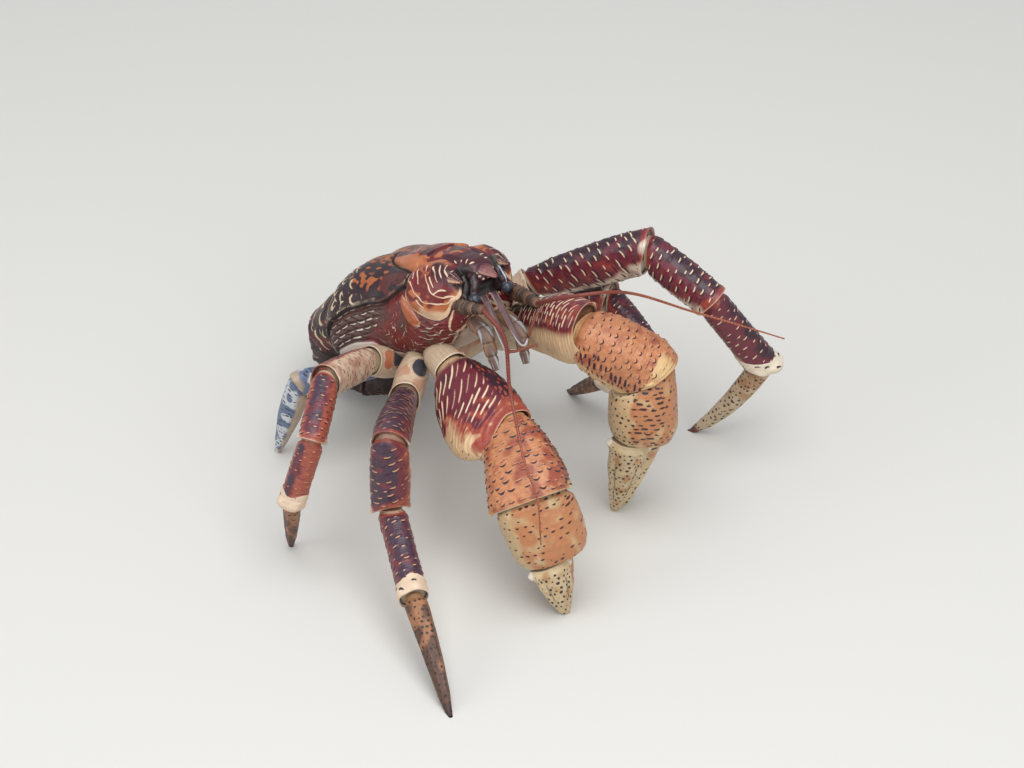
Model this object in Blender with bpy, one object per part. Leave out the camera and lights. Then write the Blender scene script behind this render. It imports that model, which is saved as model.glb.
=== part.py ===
"""Coconut crab, life size, standing with its head raised and its legs spread.

+X is forward, +Y is the animal's left, +Z is up, all in metres. The animal stands on z = 0.
Each plate of the body and each joint of a limb is a closed solid of its own.
"""
import bpy
import bmesh
import math
import random
from mathutils import Matrix, Vector
from mathutils.bvhtree import BVHTree

MM = 0.001
GAP = 0.3 * MM
BODY_HEIGHT = 130 * MM
BODY_PITCH = math.radians(33)
BODY_ROLL = math.radians(6)
CARAPACE_SIDES = 36
LIMB_SIDES = 16
CLAW_SIDES = 20
SCUTE_SIDES = 5

# Relief on the shell, in millimetres: width across the joint, length along it, height
RELIEF_SIZES = {
    "ridge": (13, 3.0, 1.0),
    "scale": (5.5, 4.5, 1.2),
    "spine": (4.0, 4.5, 2.6),
}

# Carapace stations along the body: position, half width, top, level of the widest point, bottom
CARAPACE = (
    (75, 12, 15, 5, -5),
    (70, 22, 19, 2, -14),
    (62, 30, 22, 0, -25),
    (48, 36, 27, -3, -37),
    (30, 40, 30, -5, -43),
    (12, 43, 32, -6, -46),
    (-2, 44, 32, -6, -46),
    (-8, 45, 31, -6, -46),
    (-16, 51, 34, -7, -46),
    (-34, 59, 36, -9, -46),
    (-50, 62, 33, -11, -44),
    (-63, 57, 26, -12, -39),
    (-73, 44, 16, -12, -31),
    (-79, 26, 5, -12, -23),
)
GROOVE_AT = -7
SIDE_LINE = (-33, -19)

# Abdomen rings: distance back and height of the centre in world axes, half width, half depth, tilt
ABDOMEN = (
    (-57, 84, 30, 24, 20),
    (-75, 72, 38, 27, 35),
    (-88, 55, 41, 27, 70),
    (-86, 37, 38, 25, 110),
    (-70, 26, 32, 20, 150),
    (-52, 25, 25, 15, 175),
    (-36, 29, 17, 9, 190),
)

# Joints of each limb in millimetres, from the body to the tip on the ground
JOINTS = {
    "claw_right": ((46, -33, 110), (68, -41.5, 115), (145, -62, 113.5), (192, -84, 87), (210, -79, 43),
                   (226.5, -77, -3)),
    "claw_left": ((50, 25, 105), (70, 29, 120), (143, 18, 153.5), (178.5, 48, 126), (181.5, 42, 75),
                  (165.5, 31.5, -3)),
    "leg1_right": ((23, -34.5, 95), (46, -69, 89), (111, -141, 124), (111, -142, 65), (173, -176.5, 38.5),
                   (252, -214.5, -3)),
    "leg1_left": ((26, 25, 90), (38, 66, 124), (107, 122, 163), (163, 132, 141), (188, 166.5, 78),
                  (137, 142.5, -3)),
    "leg2_right": ((2, -34.5, 81.5), (5, -66.5, 102), (38, -137, 137), (66, -175, 120), (56.5, -188.5, 65.5),
                   (30.5, -170.5, -3)),
    "leg2_left": ((5, 25, 76), (20, 60, 82), (81, 110, 111.5), (126, 102.5, 97), (92, 95.5, 48.5),
                  (35.5, 111.5, -3)),
    "leg3_right": ((-15, -30.5, 70), (-38, -99, 75), (-62.5, -105, -3)),
    "leg3_left": ((-12, 21, 66), (-30, 88, 72), (-58.5, 92, -3)),
}

COLOURS = {
    "shell": ((0.16, 0.035, 0.03), 0.35),
    "rear": ((0.07, 0.022, 0.03), 0.35),
    "under": ((0.45, 0.30, 0.22), 0.5),
    "abdomen": ((0.05, 0.02, 0.02), 0.5),
    "claw": ((0.45, 0.16, 0.05), 0.4),
    "palm": ((0.55, 0.36, 0.17), 0.45),
    "leg": ((0.27, 0.045, 0.03), 0.4),
    "tip": ((0.20, 0.07, 0.03), 0.5),
    "small": ((0.30, 0.33, 0.38), 0.5),
    "eye": ((0.02, 0.015, 0.015), 0.12),
    "feeler": ((0.35, 0.05, 0.03), 0.45),
}


def mm(*values):
    return Vector(values) * MM


def from_body(x, y, z):
    """Turn body axes into world axes: rolled a little to the left, then pitched nose up."""
    y, z = (
        y * math.cos(BODY_ROLL) + z * math.sin(BODY_ROLL),
        -y * math.sin(BODY_ROLL) + z * math.cos(BODY_ROLL),
    )
    return Vector((
        x * math.cos(BODY_PITCH) - z * math.sin(BODY_PITCH),
        y,
        x * math.sin(BODY_PITCH) + z * math.cos(BODY_PITCH) + BODY_HEIGHT,
    ))


def material(name):
    made = bpy.data.materials.get(name)
    if made is None:
        colour, rough = COLOURS[name]
        made = bpy.data.materials.new(name)
        made.use_nodes = True
        shader = made.node_tree.nodes["Principled BSDF"]
        shader.inputs["Base Color"].default_value = (*colour, 1)
        shader.inputs["Roughness"].default_value = rough
        made.diffuse_color = (*colour, 1)
    return made


def new_object(name, bm, look, origin=None):
    """Make a node from a bmesh in world coordinates, with its origin at the given joint."""
    bmesh.ops.recalc_face_normals(bm, faces=bm.faces)
    if bm.calc_volume(signed=True) < 0:
        bmesh.ops.reverse_faces(bm, faces=bm.faces)
    origin = origin or Vector((0, 0, 0))
    bmesh.ops.translate(bm, vec=-origin, verts=bm.verts)
    mesh = bpy.data.meshes.new(name)
    bm.to_mesh(mesh)
    bm.free()
    mesh.shade_smooth()
    mesh.set_sharp_from_angle(angle=math.radians(50))
    mesh.materials.append(material(look))
    obj = bpy.data.objects.new(name, mesh)
    bpy.context.scene.collection.objects.link(obj)
    obj.location = origin
    obj.parent = ROOT
    bpy.context.view_layer.update()
    return obj


def oval(angle, half_side, half_up, power):
    c, s = math.cos(angle), math.sin(angle)
    return (
        half_side * math.copysign(abs(c) ** (2 / power), c),
        half_up * math.copysign(abs(s) ** (2 / power), s),
    )


def skin(rings, tip=True, tail=True):
    """Close a row of equal rings of points into one solid."""
    bm = bmesh.new()
    rows = [[bm.verts.new(point) for point in ring] for ring in rings]
    count = len(rows[0])
    for low, high in zip(rows, rows[1:]):
        for i in range(count):
            j = (i + 1) % count
            bm.faces.new((low[i], low[j], high[j], high[i]))
    bm.faces.new(rows[0][::-1])
    bm.faces.new(rows[-1])
    return bm


def cut_flat(bm, point, normal):
    """Remove what lies beyond a plane, on the side its normal points to, and close the cut."""
    cut = bmesh.ops.bisect_plane(
        bm, geom=bm.verts[:] + bm.edges[:] + bm.faces[:], dist=1e-7,
        plane_co=point, plane_no=normal, clear_outer=True,
    )
    edges = [e for e in cut["geom_cut"] if isinstance(e, bmesh.types.BMEdge)]
    rims = [e for e in edges if e.is_valid and e.is_boundary]
    if rims:
        bmesh.ops.holes_fill(bm, edges=rims)


class Limb:
    """One joint of a limb: rings along its axis, set by half sizes at fractions of its length."""

    def __init__(self, start, end, up, stations, sides=LIMB_SIDES, power=2.3):
        self.start, self.end = Vector(start), Vector(end)
        self.axis = (self.end - self.start).normalized()
        self.length = (self.end - self.start).length
        self.up = (up - self.axis * up.dot(self.axis)).normalized()
        self.side = self.axis.cross(self.up)
        self.stations = stations
        self.sides = sides
        self.power = power

    def sizes(self, t):
        rows = self.stations
        t = min(max(t, rows[0][0]), rows[-1][0])
        for low, high in zip(rows, rows[1:]):
            if t <= high[0]:
                f = (t - low[0]) / (high[0] - low[0])
                return [a + (b - a) * f for a, b in zip(low[1:], high[1:])]
        return rows[-1][1:]

    def point(self, t, angle):
        half_side, half_up, shift_side, shift_up = self.sizes(t)
        x, y = oval(angle, half_side, half_up, self.power)
        return (
            self.start + self.axis * (t * self.length)
            + self.side * (x + shift_side) * MM + self.up * (y + shift_up) * MM
        )

    def frame(self, t, angle):
        """A point on the surface, the way out of it, and the way along the joint."""
        here = self.point(t, angle)
        along = (self.point(t + 0.02, angle) - self.point(t - 0.02, angle)).normalized()
        around = self.point(t, angle + 0.1) - self.point(t, angle - 0.1)
        out = around.cross(along).normalized()
        centre = self.start + self.axis * (t * self.length)
        if out.dot(here - centre) < 0:
            out = -out
        return here, out, along

    def mesh(self):
        rings = []
        for row in self.stations:
            rings.append([
                self.point(row[0], 2 * math.pi * (i + 0.5) / self.sides) for i in range(self.sides)
            ])
        return skin(rings)


def swollen(obj, by=GAP):
    """A closed copy of a node grown by a small distance, for cutting its neighbour."""
    bm = bmesh.new()
    bm.from_mesh(obj.data)
    bm.transform(obj.matrix_world)
    bm.normal_update()
    moves = [v.normal * min(v.calc_shell_factor(), 2.0) * by for v in bm.verts]
    for vert, move in zip(bm.verts, moves):
        vert.co += move
    mesh = bpy.data.meshes.new("cutter")
    bm.to_mesh(mesh)
    bm.free()
    cutter = bpy.data.objects.new("cutter", mesh)
    bpy.context.scene.collection.objects.link(cutter)
    cutter.hide_render = True
    cutter.display_type = "WIRE"
    return cutter


def settle(obj):
    """Apply a node's modifiers and keep only its largest closed surface."""
    bpy.context.view_layer.update()
    graph = bpy.context.evaluated_depsgraph_get()
    bm = bmesh.new()
    bm.from_mesh(obj.evaluated_get(graph).to_mesh())
    obj.modifiers.clear()
    bmesh.ops.remove_doubles(bm, verts=bm.verts, dist=0.01 * MM)
    bmesh.ops.dissolve_degenerate(bm, edges=bm.edges, dist=0.01 * MM)
    groups, seen = [], set()
    for first in bm.verts:
        if first in seen:
            continue
        group, stack = [], [first]
        seen.add(first)
        while stack:
            vert = stack.pop()
            group.append(vert)
            for edge in vert.link_edges:
                other = edge.other_vert(vert)
                if other not in seen:
                    seen.add(other)
                    stack.append(other)
        groups.append(group)
    groups.sort(key=lambda g: sum(f.calc_area() for v in g for f in v.link_faces))
    for group in groups[:-1]:
        bmesh.ops.delete(bm, geom=group, context="VERTS")
    if bm.calc_volume(signed=True) < 0:
        bmesh.ops.reverse_faces(bm, faces=bm.faces)
    bm.to_mesh(obj.data)
    bm.free()
    obj.data.shade_smooth()
    obj.data.set_sharp_from_angle(angle=math.radians(50))


def carve(obj, others, by=GAP):
    """Cut grown copies of its neighbours out of a node."""
    cutters = []
    for other in others:
        cutter = swollen(other, by)
        mod = obj.modifiers.new("clear", "BOOLEAN")
        mod.operation = "DIFFERENCE"
        mod.object = cutter
        cutters.append(cutter)
    settle(obj)
    for cutter in cutters:
        bpy.data.objects.remove(cutter)


def fuse(obj, pieces):
    """Join closed pieces to the node they grow from with one Boolean union."""
    if not pieces:
        return
    group = bpy.data.collections.new("relief")
    bpy.context.scene.collection.children.link(group)
    for piece in pieces:
        group.objects.link(piece)
    bpy.context.view_layer.update()
    mod = obj.modifiers.new("relief", "BOOLEAN")
    mod.operation = "UNION"
    mod.operand_type = "COLLECTION"
    mod.collection = group
    settle(obj)
    for piece in pieces:
        bpy.data.objects.remove(piece)
    bpy.data.collections.remove(group)


def scute(here, out, along, width, length, height, lean=0.6):
    """A low scale sunk in the shell: an oval foot and a crest that leans along the joint."""
    side = along.cross(out).normalized()
    bm = bmesh.new()
    for i in range(SCUTE_SIDES):
        a = 2 * math.pi * i / SCUTE_SIDES
        bm.verts.new(here + side * math.cos(a) * width / 2 + along * math.sin(a) * length / 2 - out * height * 0.9)
    crest = here + out * height + along * length * lean
    bm.verts.new(crest + side * width * 0.12)
    bm.verts.new(crest - side * width * 0.12)
    bmesh.ops.convex_hull(bm, input=bm.verts)
    bmesh.ops.recalc_face_normals(bm, faces=bm.faces)
    mesh = bpy.data.meshes.new("scute")
    bm.to_mesh(mesh)
    bm.free()
    return bpy.data.objects.new("scute", mesh)


def carapace_ring(row):
    at, wide, top, mid, low = row
    ring = []
    for i in range(CARAPACE_SIDES):
        a = 2 * math.pi * i / CARAPACE_SIDES
        c, s = math.cos(a), math.sin(a)
        power = 2.3 if s > 0 else 2.8
        tall = top - mid if s > 0 else mid - low
        y = wide * math.copysign(abs(c) ** (2 / power), c)
        z = mid + tall * math.copysign(abs(s) ** (2 / power), s)
        notch = 13 * math.exp(-(y / 17) ** 2) * min(max((-at - 45) / 30, 0), 1)
        dip = 2.0 * math.exp(-((y / 9) ** 2)) * min(max((-at - 15) / 20, 0), 1) if s > 0 else 0
        ring.append(from_body((at + notch) * MM, y * MM, (z - dip) * MM))
    return ring


def carapace_frame(at, angle):
    """A point on the carapace, the way out of it, and the way toward the tail."""
    rows = CARAPACE

    def ring_point(at, angle):
        at = min(max(at, rows[-1][0]), rows[0][0])
        for first, second in zip(rows, rows[1:]):
            if at >= second[0]:
                f = (first[0] - at) / (first[0] - second[0])
                break
        low, high = carapace_ring(first), carapace_ring(second)
        place = angle / (2 * math.pi) * CARAPACE_SIDES % CARAPACE_SIDES
        k = int(place)
        g = place - k
        n = (k + 1) % CARAPACE_SIDES
        return (low[k] * (1 - g) + low[n] * g) * (1 - f) + (high[k] * (1 - g) + high[n] * g) * f

    here = ring_point(at, angle)
    along = (ring_point(at - 2, angle) - ring_point(at + 2, angle)).normalized()
    around = ring_point(at, angle + 0.1) - ring_point(at, angle - 0.1)
    out = around.cross(along).normalized()
    if out.dot(here - from_body(at * MM, 0, -5 * MM)) < 0:
        out = -out
    return here, out, along


def build_body():
    whole = skin([carapace_ring(row) for row in CARAPACE])
    caps = [face for face in whole.faces if len(face.verts) > 4]
    bmesh.ops.poke(whole, faces=caps)
    bmesh.ops.triangulate(whole, faces=whole.faces)
    half = GAP / 2
    ahead = (from_body(1, 0, 0) - from_body(0, 0, 0)).normalized()
    left = (from_body(0, 1, 0) - from_body(0, 0, 0)).normalized()
    upward = (from_body(0, 0, 1) - from_body(0, 0, 0)).normalized()
    under_at = from_body(0, 0, -30 * MM)
    under_way = (upward - ahead * 0.12).normalized()
    groove_at = from_body(GROOVE_AT * MM, 0, 0)
    groove_way = (ahead + upward * 0.28).normalized()

    def piece(cuts):
        bm = whole.copy()
        for point, way in cuts:
            cut_flat(bm, point - way * half, way)
        return bm

    flanks = {}
    for name, hand in (("right", -1), ("left", 1)):
        way = (left * hand * 0.62 - upward * 0.78 - ahead * 0.10).normalized()
        flanks[name] = (from_body(-45 * MM, hand * 52 * MM, 8 * MM), way)
    nodes = {}
    nodes["sternum"] = new_object("sternum", piece([(under_at, under_way)]), "under")
    nodes["head_shield"] = new_object(
        "head_shield", piece([(under_at, -under_way), (groove_at, -groove_way)]), "shell")
    rear = [(under_at, -under_way), (groove_at, groove_way)]
    for name, (point, way) in flanks.items():
        middle = (from_body(0, 0, 0), left * (1 if name == "right" else -1))
        nodes["flank_" + name] = new_object("flank_" + name, piece(rear + [(point, -way), middle]), "shell")
    nodes["rear_shell"] = new_object("rear_shell", piece(rear + list(flanks.values())), "rear")
    return nodes, guide("body guide", whole)


def guide(name, bm):
    """A closed shape that only cuts other nodes."""
    bmesh.ops.recalc_face_normals(bm, faces=bm.faces)
    mesh = bpy.data.meshes.new(name)
    bm.to_mesh(mesh)
    bm.free()
    obj = bpy.data.objects.new(name, mesh)
    bpy.context.scene.collection.objects.link(obj)
    obj.hide_render = True
    obj.display_type = "WIRE"
    return obj


def build_abdomen(whole_body):
    """Broad rings that curl down and forward under the body, and the tail at their end."""
    rings = []
    for back, height, wide, deep, tilt in ABDOMEN:
        t = math.radians(tilt)
        away = Vector((-math.sin(t), 0, math.cos(t)))
        ring = []
        for i in range(24):
            x, y = oval(2 * math.pi * (i + 0.5) / 24, wide, deep, 2.2)
            ring.append(Vector((back, x, height)) * MM + away * y * MM)
        rings.append(ring)
    made = []
    names = ("abdomen_1", "abdomen_2", "abdomen_3", "abdomen_4", "abdomen_5", "tail")
    for name, low, high in zip(names, rings, rings[1:]):
        made.append(new_object(name, skin([low, high]), "abdomen" if name != "tail" else "small"))
    for first, second in zip(made, made[1:]):
        carve(second, [first])
    for piece in made[:2]:
        carve(piece, [whole_body])
    return made


def mitre(limb_mesh, joint, before, after, keep_before):
    """Cut a joint of a limb on the plane halfway through the bend it makes with the next."""
    way = (before + after).normalized()
    if keep_before:
        cut_flat(limb_mesh, joint - way * GAP / 2, way)
    else:
        cut_flat(limb_mesh, joint + way * GAP / 2, -way)


def build_limb(name, parts, ups):
    """Make the joints of one limb in turn. parts: (node, look, stations, sides, power)."""
    points = [mm(*p) for p in JOINTS[name]]
    made = []
    limbs = []
    for k, (node, look, stations, sides, power) in enumerate(parts):
        limb = Limb(points[k], points[k + 1], ups[k], stations, sides, power)
        bm = limb.mesh()
        if k > 0:
            before = (points[k] - points[k - 1]).normalized()
            mitre(bm, points[k], before, limb.axis, False)
        if points[k + 1].z < 0:
            cut_flat(bm, Vector((0, 0, 0)), Vector((0, 0, -1)))
        if k < len(parts) - 1:
            after = (points[k + 2] - points[k + 1]).normalized()
            mitre(bm, points[k + 1], limb.axis, after, True)
        made.append(new_object(node, bm, look, points[k]))
        limbs.append(limb)
    return made, limbs


def ends(rows, back=0.22, front=0.22, shrink=0.72):
    """Carry a joint's first and last sizes past its ends, narrowing, so that a bend stays round."""
    first, last = rows[0], rows[-1]
    out = []
    if back:
        out.append((first[0] - back, first[1] * shrink, first[2] * shrink, first[3], first[4]))
    out += list(rows)
    if front:
        out.append((last[0] + front, last[1] * shrink, last[2] * shrink, last[3], last[4]))
    return out


def tube(points, radii, sides=8):
    """A round tube through points, with a turning frame that never twists."""
    rings = []
    side = None
    for i, here in enumerate(points):
        a, b = points[max(i - 1, 0)], points[min(i + 1, len(points) - 1)]
        way = (b - a).normalized()
        if side is None:
            side = way.orthogonal().normalized()
        side = (side - way * side.dot(way)).normalized()
        up = way.cross(side)
        rings.append([
            here + (side * math.cos(2 * math.pi * k / sides) + up * math.sin(2 * math.pi * k / sides)) * radii[i]
            for k in range(sides)
        ])
    return skin(rings)


def smooth_route(points, count):
    """Points at even steps of a smooth curve through the route's own points."""
    rows = [points[0] * 2 - points[1]] + list(points) + [points[-1] * 2 - points[-2]]
    out = []
    spans = len(points) - 1
    for n in range(count):
        at = n * spans / (count - 1)
        k = min(int(at), spans - 1)
        f = at - k
        a, b, c, d = rows[k:k + 4]
        out.append(0.5 * (2 * b + (c - a) * f + (2 * a - 5 * b + 4 * c - d) * f * f
                          + (3 * b - a - 3 * c + d) * f ** 3))
    return out


for old in list(bpy.data.objects):
    bpy.data.objects.remove(old, do_unlink=True)
ROOT = bpy.data.objects.new("crab", None)
bpy.context.scene.collection.objects.link(ROOT)
dice = random.Random(11)

body, WHOLE = build_body()
abdomen = build_abdomen(WHOLE)

MAIN = Vector((0.23, 0.81, 0.53))
UP = Vector((0, 0, 1))

BASE = ends([(0.0, 9, 9, 0, 0), (0.5, 11, 12, 0, 0), (1.0, 10.5, 11, 0, 0)], back=0.3)

limbs = {}
solids = dict(body)
for piece in abdomen:
    solids[piece.name] = piece


def add(name, parts, ups):
    made, shapes = build_limb(name, parts, ups)
    for obj, shape in zip(made, shapes):
        solids[obj.name] = obj
        limbs[obj.name] = shape


RIGHTWARD = Vector((0.67, 0.74, 0))
add("claw_right", [
    ("claw_right_base", "under", ends([(0, 11, 12, 0, 0), (1, 12, 14, 0, 0)], back=0.5), 16, 2.3),
    ("claw_right_merus", "shell", ends([(0, 12, 14, 0, -1), (0.2, 14, 21, 0, -3), (0.4, 16, 27, 0, -5),
                                        (0.7, 17, 31, 0, -7), (1, 16, 31, 0, -9)]), CLAW_SIDES, 2.2),
    ("claw_right_wrist", "claw", ends([(0, 17, 22, 0, 2), (0.35, 23, 30, 0, 4), (0.75, 25, 34, 0, 5),
                                       (1, 23, 30, 0, 2)]), CLAW_SIDES, 2.3),
    ("claw_right_palm", "palm", ends([(0, 21, 28, 0, 3), (0.4, 23, 29, 0, 4), (1, 21, 26, 0, 4)], front=0.02,
                                     shrink=0.9), CLAW_SIDES, 2.3),
    ("claw_right_finger", "palm", [(-0.3, 8, 10, 8, -3), (0, 10, 14, 9, -4), (0.3, 9, 12.5, 8, -3), (0.6, 7, 9, 6, -2),
                                   (0.85, 4, 5, 3, -1), (1, 2, 2, 0, 0)], 14, 2.2),
], [MAIN] * 5)
add("claw_left", [
    ("claw_left_base", "under", ends([(0, 11, 13, 0, 0), (1, 12, 17, 0, 2)], back=0.5), 16, 2.3),
    ("claw_left_merus", "shell", ends([(0, 12, 15, 0, 1), (0.4, 15, 21, 0, 4), (0.8, 18, 26, 0, 5),
                                       (1, 18, 25, 0, 4)]), CLAW_SIDES, 2.2),
    ("claw_left_wrist", "claw", ends([(0, 19, 20, 0, 2), (0.4, 23, 24, 0, 3), (1, 23, 24, 0, 3)]), CLAW_SIDES, 2.3),
    ("claw_left_palm", "palm", ends([(0, 22, 22, 0, 0), (0.4, 26, 25, 0, 0), (0.8, 26, 26, 0, 1),
                                     (1, 24, 25, 0, 1)], front=0.02, shrink=0.9), CLAW_SIDES, 2.3),
    ("claw_left_finger", "palm", [(-0.3, 10, 9, 9, -6), (0, 12, 14, 9, -8), (0.3, 11, 13, 8, -6), (0.6, 8, 9, 5, -3),
                                  (0.85, 5, 5, 2, -1), (1, 2, 2, 0, 0)], 14, 2.2),
], [UP, UP, UP, RIGHTWARD, RIGHTWARD])

LEG1 = [
    ("base", "under", ends([(0, 10, 11, 0, 0), (0.5, 12, 14, 0, 0), (1, 11, 13, 0, 0)], back=0.3), 14, 2.3),
    ("merus", "leg", ends([(0, 9, 12, 0, 0), (0.35, 11, 16, 0, 0), (0.8, 13, 18, 0, 0), (1, 12.5, 17, 0, 0)]),
     LIMB_SIDES, 2.1),
    ("carpus", "leg", ends([(0, 11.5, 13.5, 0, 0), (0.5, 13, 15, 0, 0), (1, 12, 14, 0, 0)]), LIMB_SIDES, 2.2),
    ("propodus", "leg", ends([(0, 10, 11.5, 0, 0), (0.5, 10, 12, 0, 0), (1, 10, 12.5, 0, 0)]), LIMB_SIDES, 2.2),
    ("dactyl", "tip", [(-0.15, 7, 8, 0, 0), (0, 8.5, 9.5, 0, 0), (0.25, 7.6, 8.7, 0, -3), (0.5, 6.4, 7.4, 0, -4.5),
                       (0.75, 4.6, 5.2, 0, -3.5), (0.93, 2.6, 2.8, 0, -1), (1, 1.3, 1.3, 0, 0)], 12, 2.2),
]
LEG2 = [
    ("base", "under", ends([(0, 9, 9.5, 0, 0), (0.5, 10.5, 12, 0, 0), (1, 9.5, 11, 0, 0)], back=0.3), 14, 2.3),
    ("merus", "leg", ends([(0, 8, 10, 0, 0), (0.4, 10, 13, 0, 0), (1, 10.5, 13, 0, 0)]), LIMB_SIDES, 2.1),
    ("carpus", "leg", ends([(0, 9.5, 11, 0, 0), (0.5, 10, 12, 0, 0), (1, 9.5, 10.5, 0, 0)]), LIMB_SIDES, 2.2),
    ("propodus", "leg", ends([(0, 8, 9, 0, 0), (1, 8, 9, 0, 0)]), LIMB_SIDES, 2.2),
    ("dactyl", "tip", [(-0.15, 5, 5.5, 0, 0), (0, 6.5, 7, 0, 0), (0.4, 5.5, 6, 0, 0), (0.75, 3.8, 4, 0, 0),
                       (0.93, 2.2, 2.4, 0, 0), (1, 1.3, 1.3, 0, 0)], 12, 2.2),
]
LEG3 = [
    ("upper", "small", ends([(0, 7, 8, 0, 0), (0.5, 8, 10, 0, 0), (1, 8, 10, 0, 0)], back=0.2, front=0.12), 14, 2.2),
    ("hand", "small", [(-0.12, 6, 7, 0, 0), (0, 8, 9, 0, 0), (0.4, 8, 9, 0, 0), (0.75, 4.5, 5.5, 0, 0),
                       (1, 1.5, 1.5, 0, 0)], 14, 2.2),
]
for side, bow in (("right", -0.8), ("left", 1)):
    claw = [(t, a, b, c, d * bow) for t, a, b, c, d in LEG1[-1][2]]
    leg1 = LEG1[:-1] + [(*LEG1[-1][:2], claw, *LEG1[-1][3:])]
    add("leg1_" + side, [("leg1_%s_%s" % (side, p[0]), *p[1:]) for p in leg1], [UP] * 5)
    add("leg2_" + side, [("leg2_%s_%s" % (side, p[0]), *p[1:]) for p in LEG2], [UP] * 5)
    add("leg3_" + side, [("leg3_%s_%s" % (side, p[0]), *p[1:]) for p in LEG3], [UP] * 2)


def loose(name, bm):
    """A closed piece that is fused to a node later, so it has no parent or material."""
    bmesh.ops.recalc_face_normals(bm, faces=bm.faces)
    mesh = bpy.data.meshes.new(name)
    bm.to_mesh(mesh)
    bm.free()
    return bpy.data.objects.new(name, mesh)


# The fixed finger of each claw grows from its palm
FIXED = [(-0.35, 9, 11, -9, 7), (0, 11, 14, -9, 7), (0.3, 9, 11, -8, 6), (0.6, 7, 8, -5, 4), (0.85, 4.5, 5, -2, 1),
         (1, 2, 2, 0, 0)]
for side, start, end, up in (
    ("right", (210, -79, 43), (221.5, -70, -3), MAIN),
    ("left", (181.5, 42, 75), (166, 41, -3), RIGHTWARD),
):
    finger = Limb(mm(*start), mm(*end), up, FIXED, 14, 2.2)
    palm = solids["claw_%s_palm" % side]
    bm = finger.mesh()
    cut_flat(bm, Vector((0, 0, 0)), Vector((0, 0, -1)))
    fuse(palm, [loose("fixed finger", bm)])
    carve(solids["claw_%s_finger" % side], [palm])

# Stalked eyes under the beak
for side, hand in (("right", -1), ("left", 1)):
    root = from_body(66 * MM, hand * 10 * MM, 8 * MM)
    neck = from_body(75 * MM, hand * 11 * MM, 6 * MM)
    end = from_body(77 * MM, (-17 if side == "right" else 13) * MM, -10 * MM)
    stalk = tube(smooth_route([root, neck, end], 7), [r * MM for r in (3.4, 3.7, 4, 4.2, 4.2, 4, 3.8)], 12)
    solids["eyestalk_" + side] = new_object("eyestalk_" + side, stalk, "eye", neck)
    way = (end - neck).normalized()
    bm = bmesh.new()
    bmesh.ops.create_uvsphere(bm, u_segments=12, v_segments=8, radius=4.6 * MM)
    bmesh.ops.translate(bm, vec=end + way * 2 * MM, verts=bm.verts)
    cut_flat(bm, end + way * GAP * 1.4, -way)
    solids["eye_" + side] = new_object("eye_" + side, bm, "eye", end)
    carve(solids["eyestalk_" + side], [WHOLE])

# Feelers, mouth legs and their stout bases
FEELERS = {
    "antenna_base_right": ([from_body(56 * MM, -27 * MM, -14 * MM), from_body(74 * MM, -28 * MM, -17 * MM),
                            from_body(91 * MM, -23 * MM, -17 * MM)], (5.5, 6, 4.6, 3.2), 12, 8),
    "antenna_base_left": ([from_body(56 * MM, 25 * MM, -10 * MM), mm(82, 19, 158), mm(110, 5, 173)], (5.5, 6, 4.6, 3.2), 12, 8),
    "antenna_right": ([from_body(91.5 * MM, -22.9 * MM, -17 * MM), mm(113, -31, 161), mm(153, -64, 157),
                       mm(173, -77, 145), mm(198, -92, 128), mm(215, -96, 107), mm(223, -100, 73)],
                      (1.8, 1.4, 1.1, 0.8, 0.5), 6, 40),
    "antenna_left": ([mm(110.7, 4.6, 173.4), mm(131, 0, 189), mm(152, 5, 201), mm(163, 27, 199), mm(166, 55, 184), mm(181, 93, 159),
                      mm(205, 118, 147), mm(230, 141, 136)], (1.7, 1.4, 1.1, 0.8, 0.5), 6, 40),
    "antennule_right": ([from_body(70 * MM, -5 * MM, -9 * MM), mm(77, -13, 163), mm(109, -26, 149), mm(117, -26, 149),
                         mm(131, -15, 157)], (2.4, 2.2, 1.7, 1.6, 1.1), 8, 13),
    "antennule_left": ([from_body(70 * MM, 5 * MM, -9 * MM), mm(79, -5, 164), mm(117, -18, 153), mm(121, -15, 158),
                        mm(124, -12, 173), mm(126, -6, 184)], (2.4, 2.2, 1.7, 1.6, 1.1), 8, 14),
    "maxilliped_right": ([from_body(57 * MM, -11 * MM, -24 * MM), mm(73, -20, 146), mm(87, -25, 148), mm(95, -28, 140),
                          mm(105, -31, 128)], (6, 6, 5, 4.6, 2.4), 10, 14),
    "maxilliped_left": ([from_body(57 * MM, 9 * MM, -25 * MM), mm(76, 6, 142), mm(92, 3, 141), mm(100, 0, 133),
                         mm(108, -4, 122)], (6, 6, 5, 4.6, 2.4), 10, 14),
}
for name, (route, radii, sides, count) in FEELERS.items():
    points = smooth_route(route, count)
    steps = len(radii) - 1
    sizes = []
    for n in range(count):
        at = n * steps / (count - 1)
        k = min(int(at), steps - 1)
        sizes.append((radii[k] + (radii[k + 1] - radii[k]) * (at - k)) * MM)
    look = "feeler" if name.startswith("antenna_") else "small"
    solids[name] = new_object(name, tube(points, sizes, sides), look, points[0])

# Each base gives way to the body and to the bases ahead of it
for side in ("right", "left"):
    row = ["claw_%s_base" % side, "leg1_%s_base" % side, "leg2_%s_base" % side, "leg3_%s_upper" % side]
    for k, name in enumerate(row):
        for other in [WHOLE] + [solids[n] for n in row[:k]]:
            carve(solids[name], [other])
for name in ("antenna_base_right", "antenna_base_left", "antennule_right", "antennule_left", "maxilliped_right",
             "maxilliped_left"):
    carve(solids[name], [WHOLE])
bpy.data.objects.remove(WHOLE)
carve(solids["leg2_left_merus"], [solids["leg1_left_base"]])
for side in ("right", "left"):
    carve(solids["antenna_" + side], [solids["antenna_base_" + side]])

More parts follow.
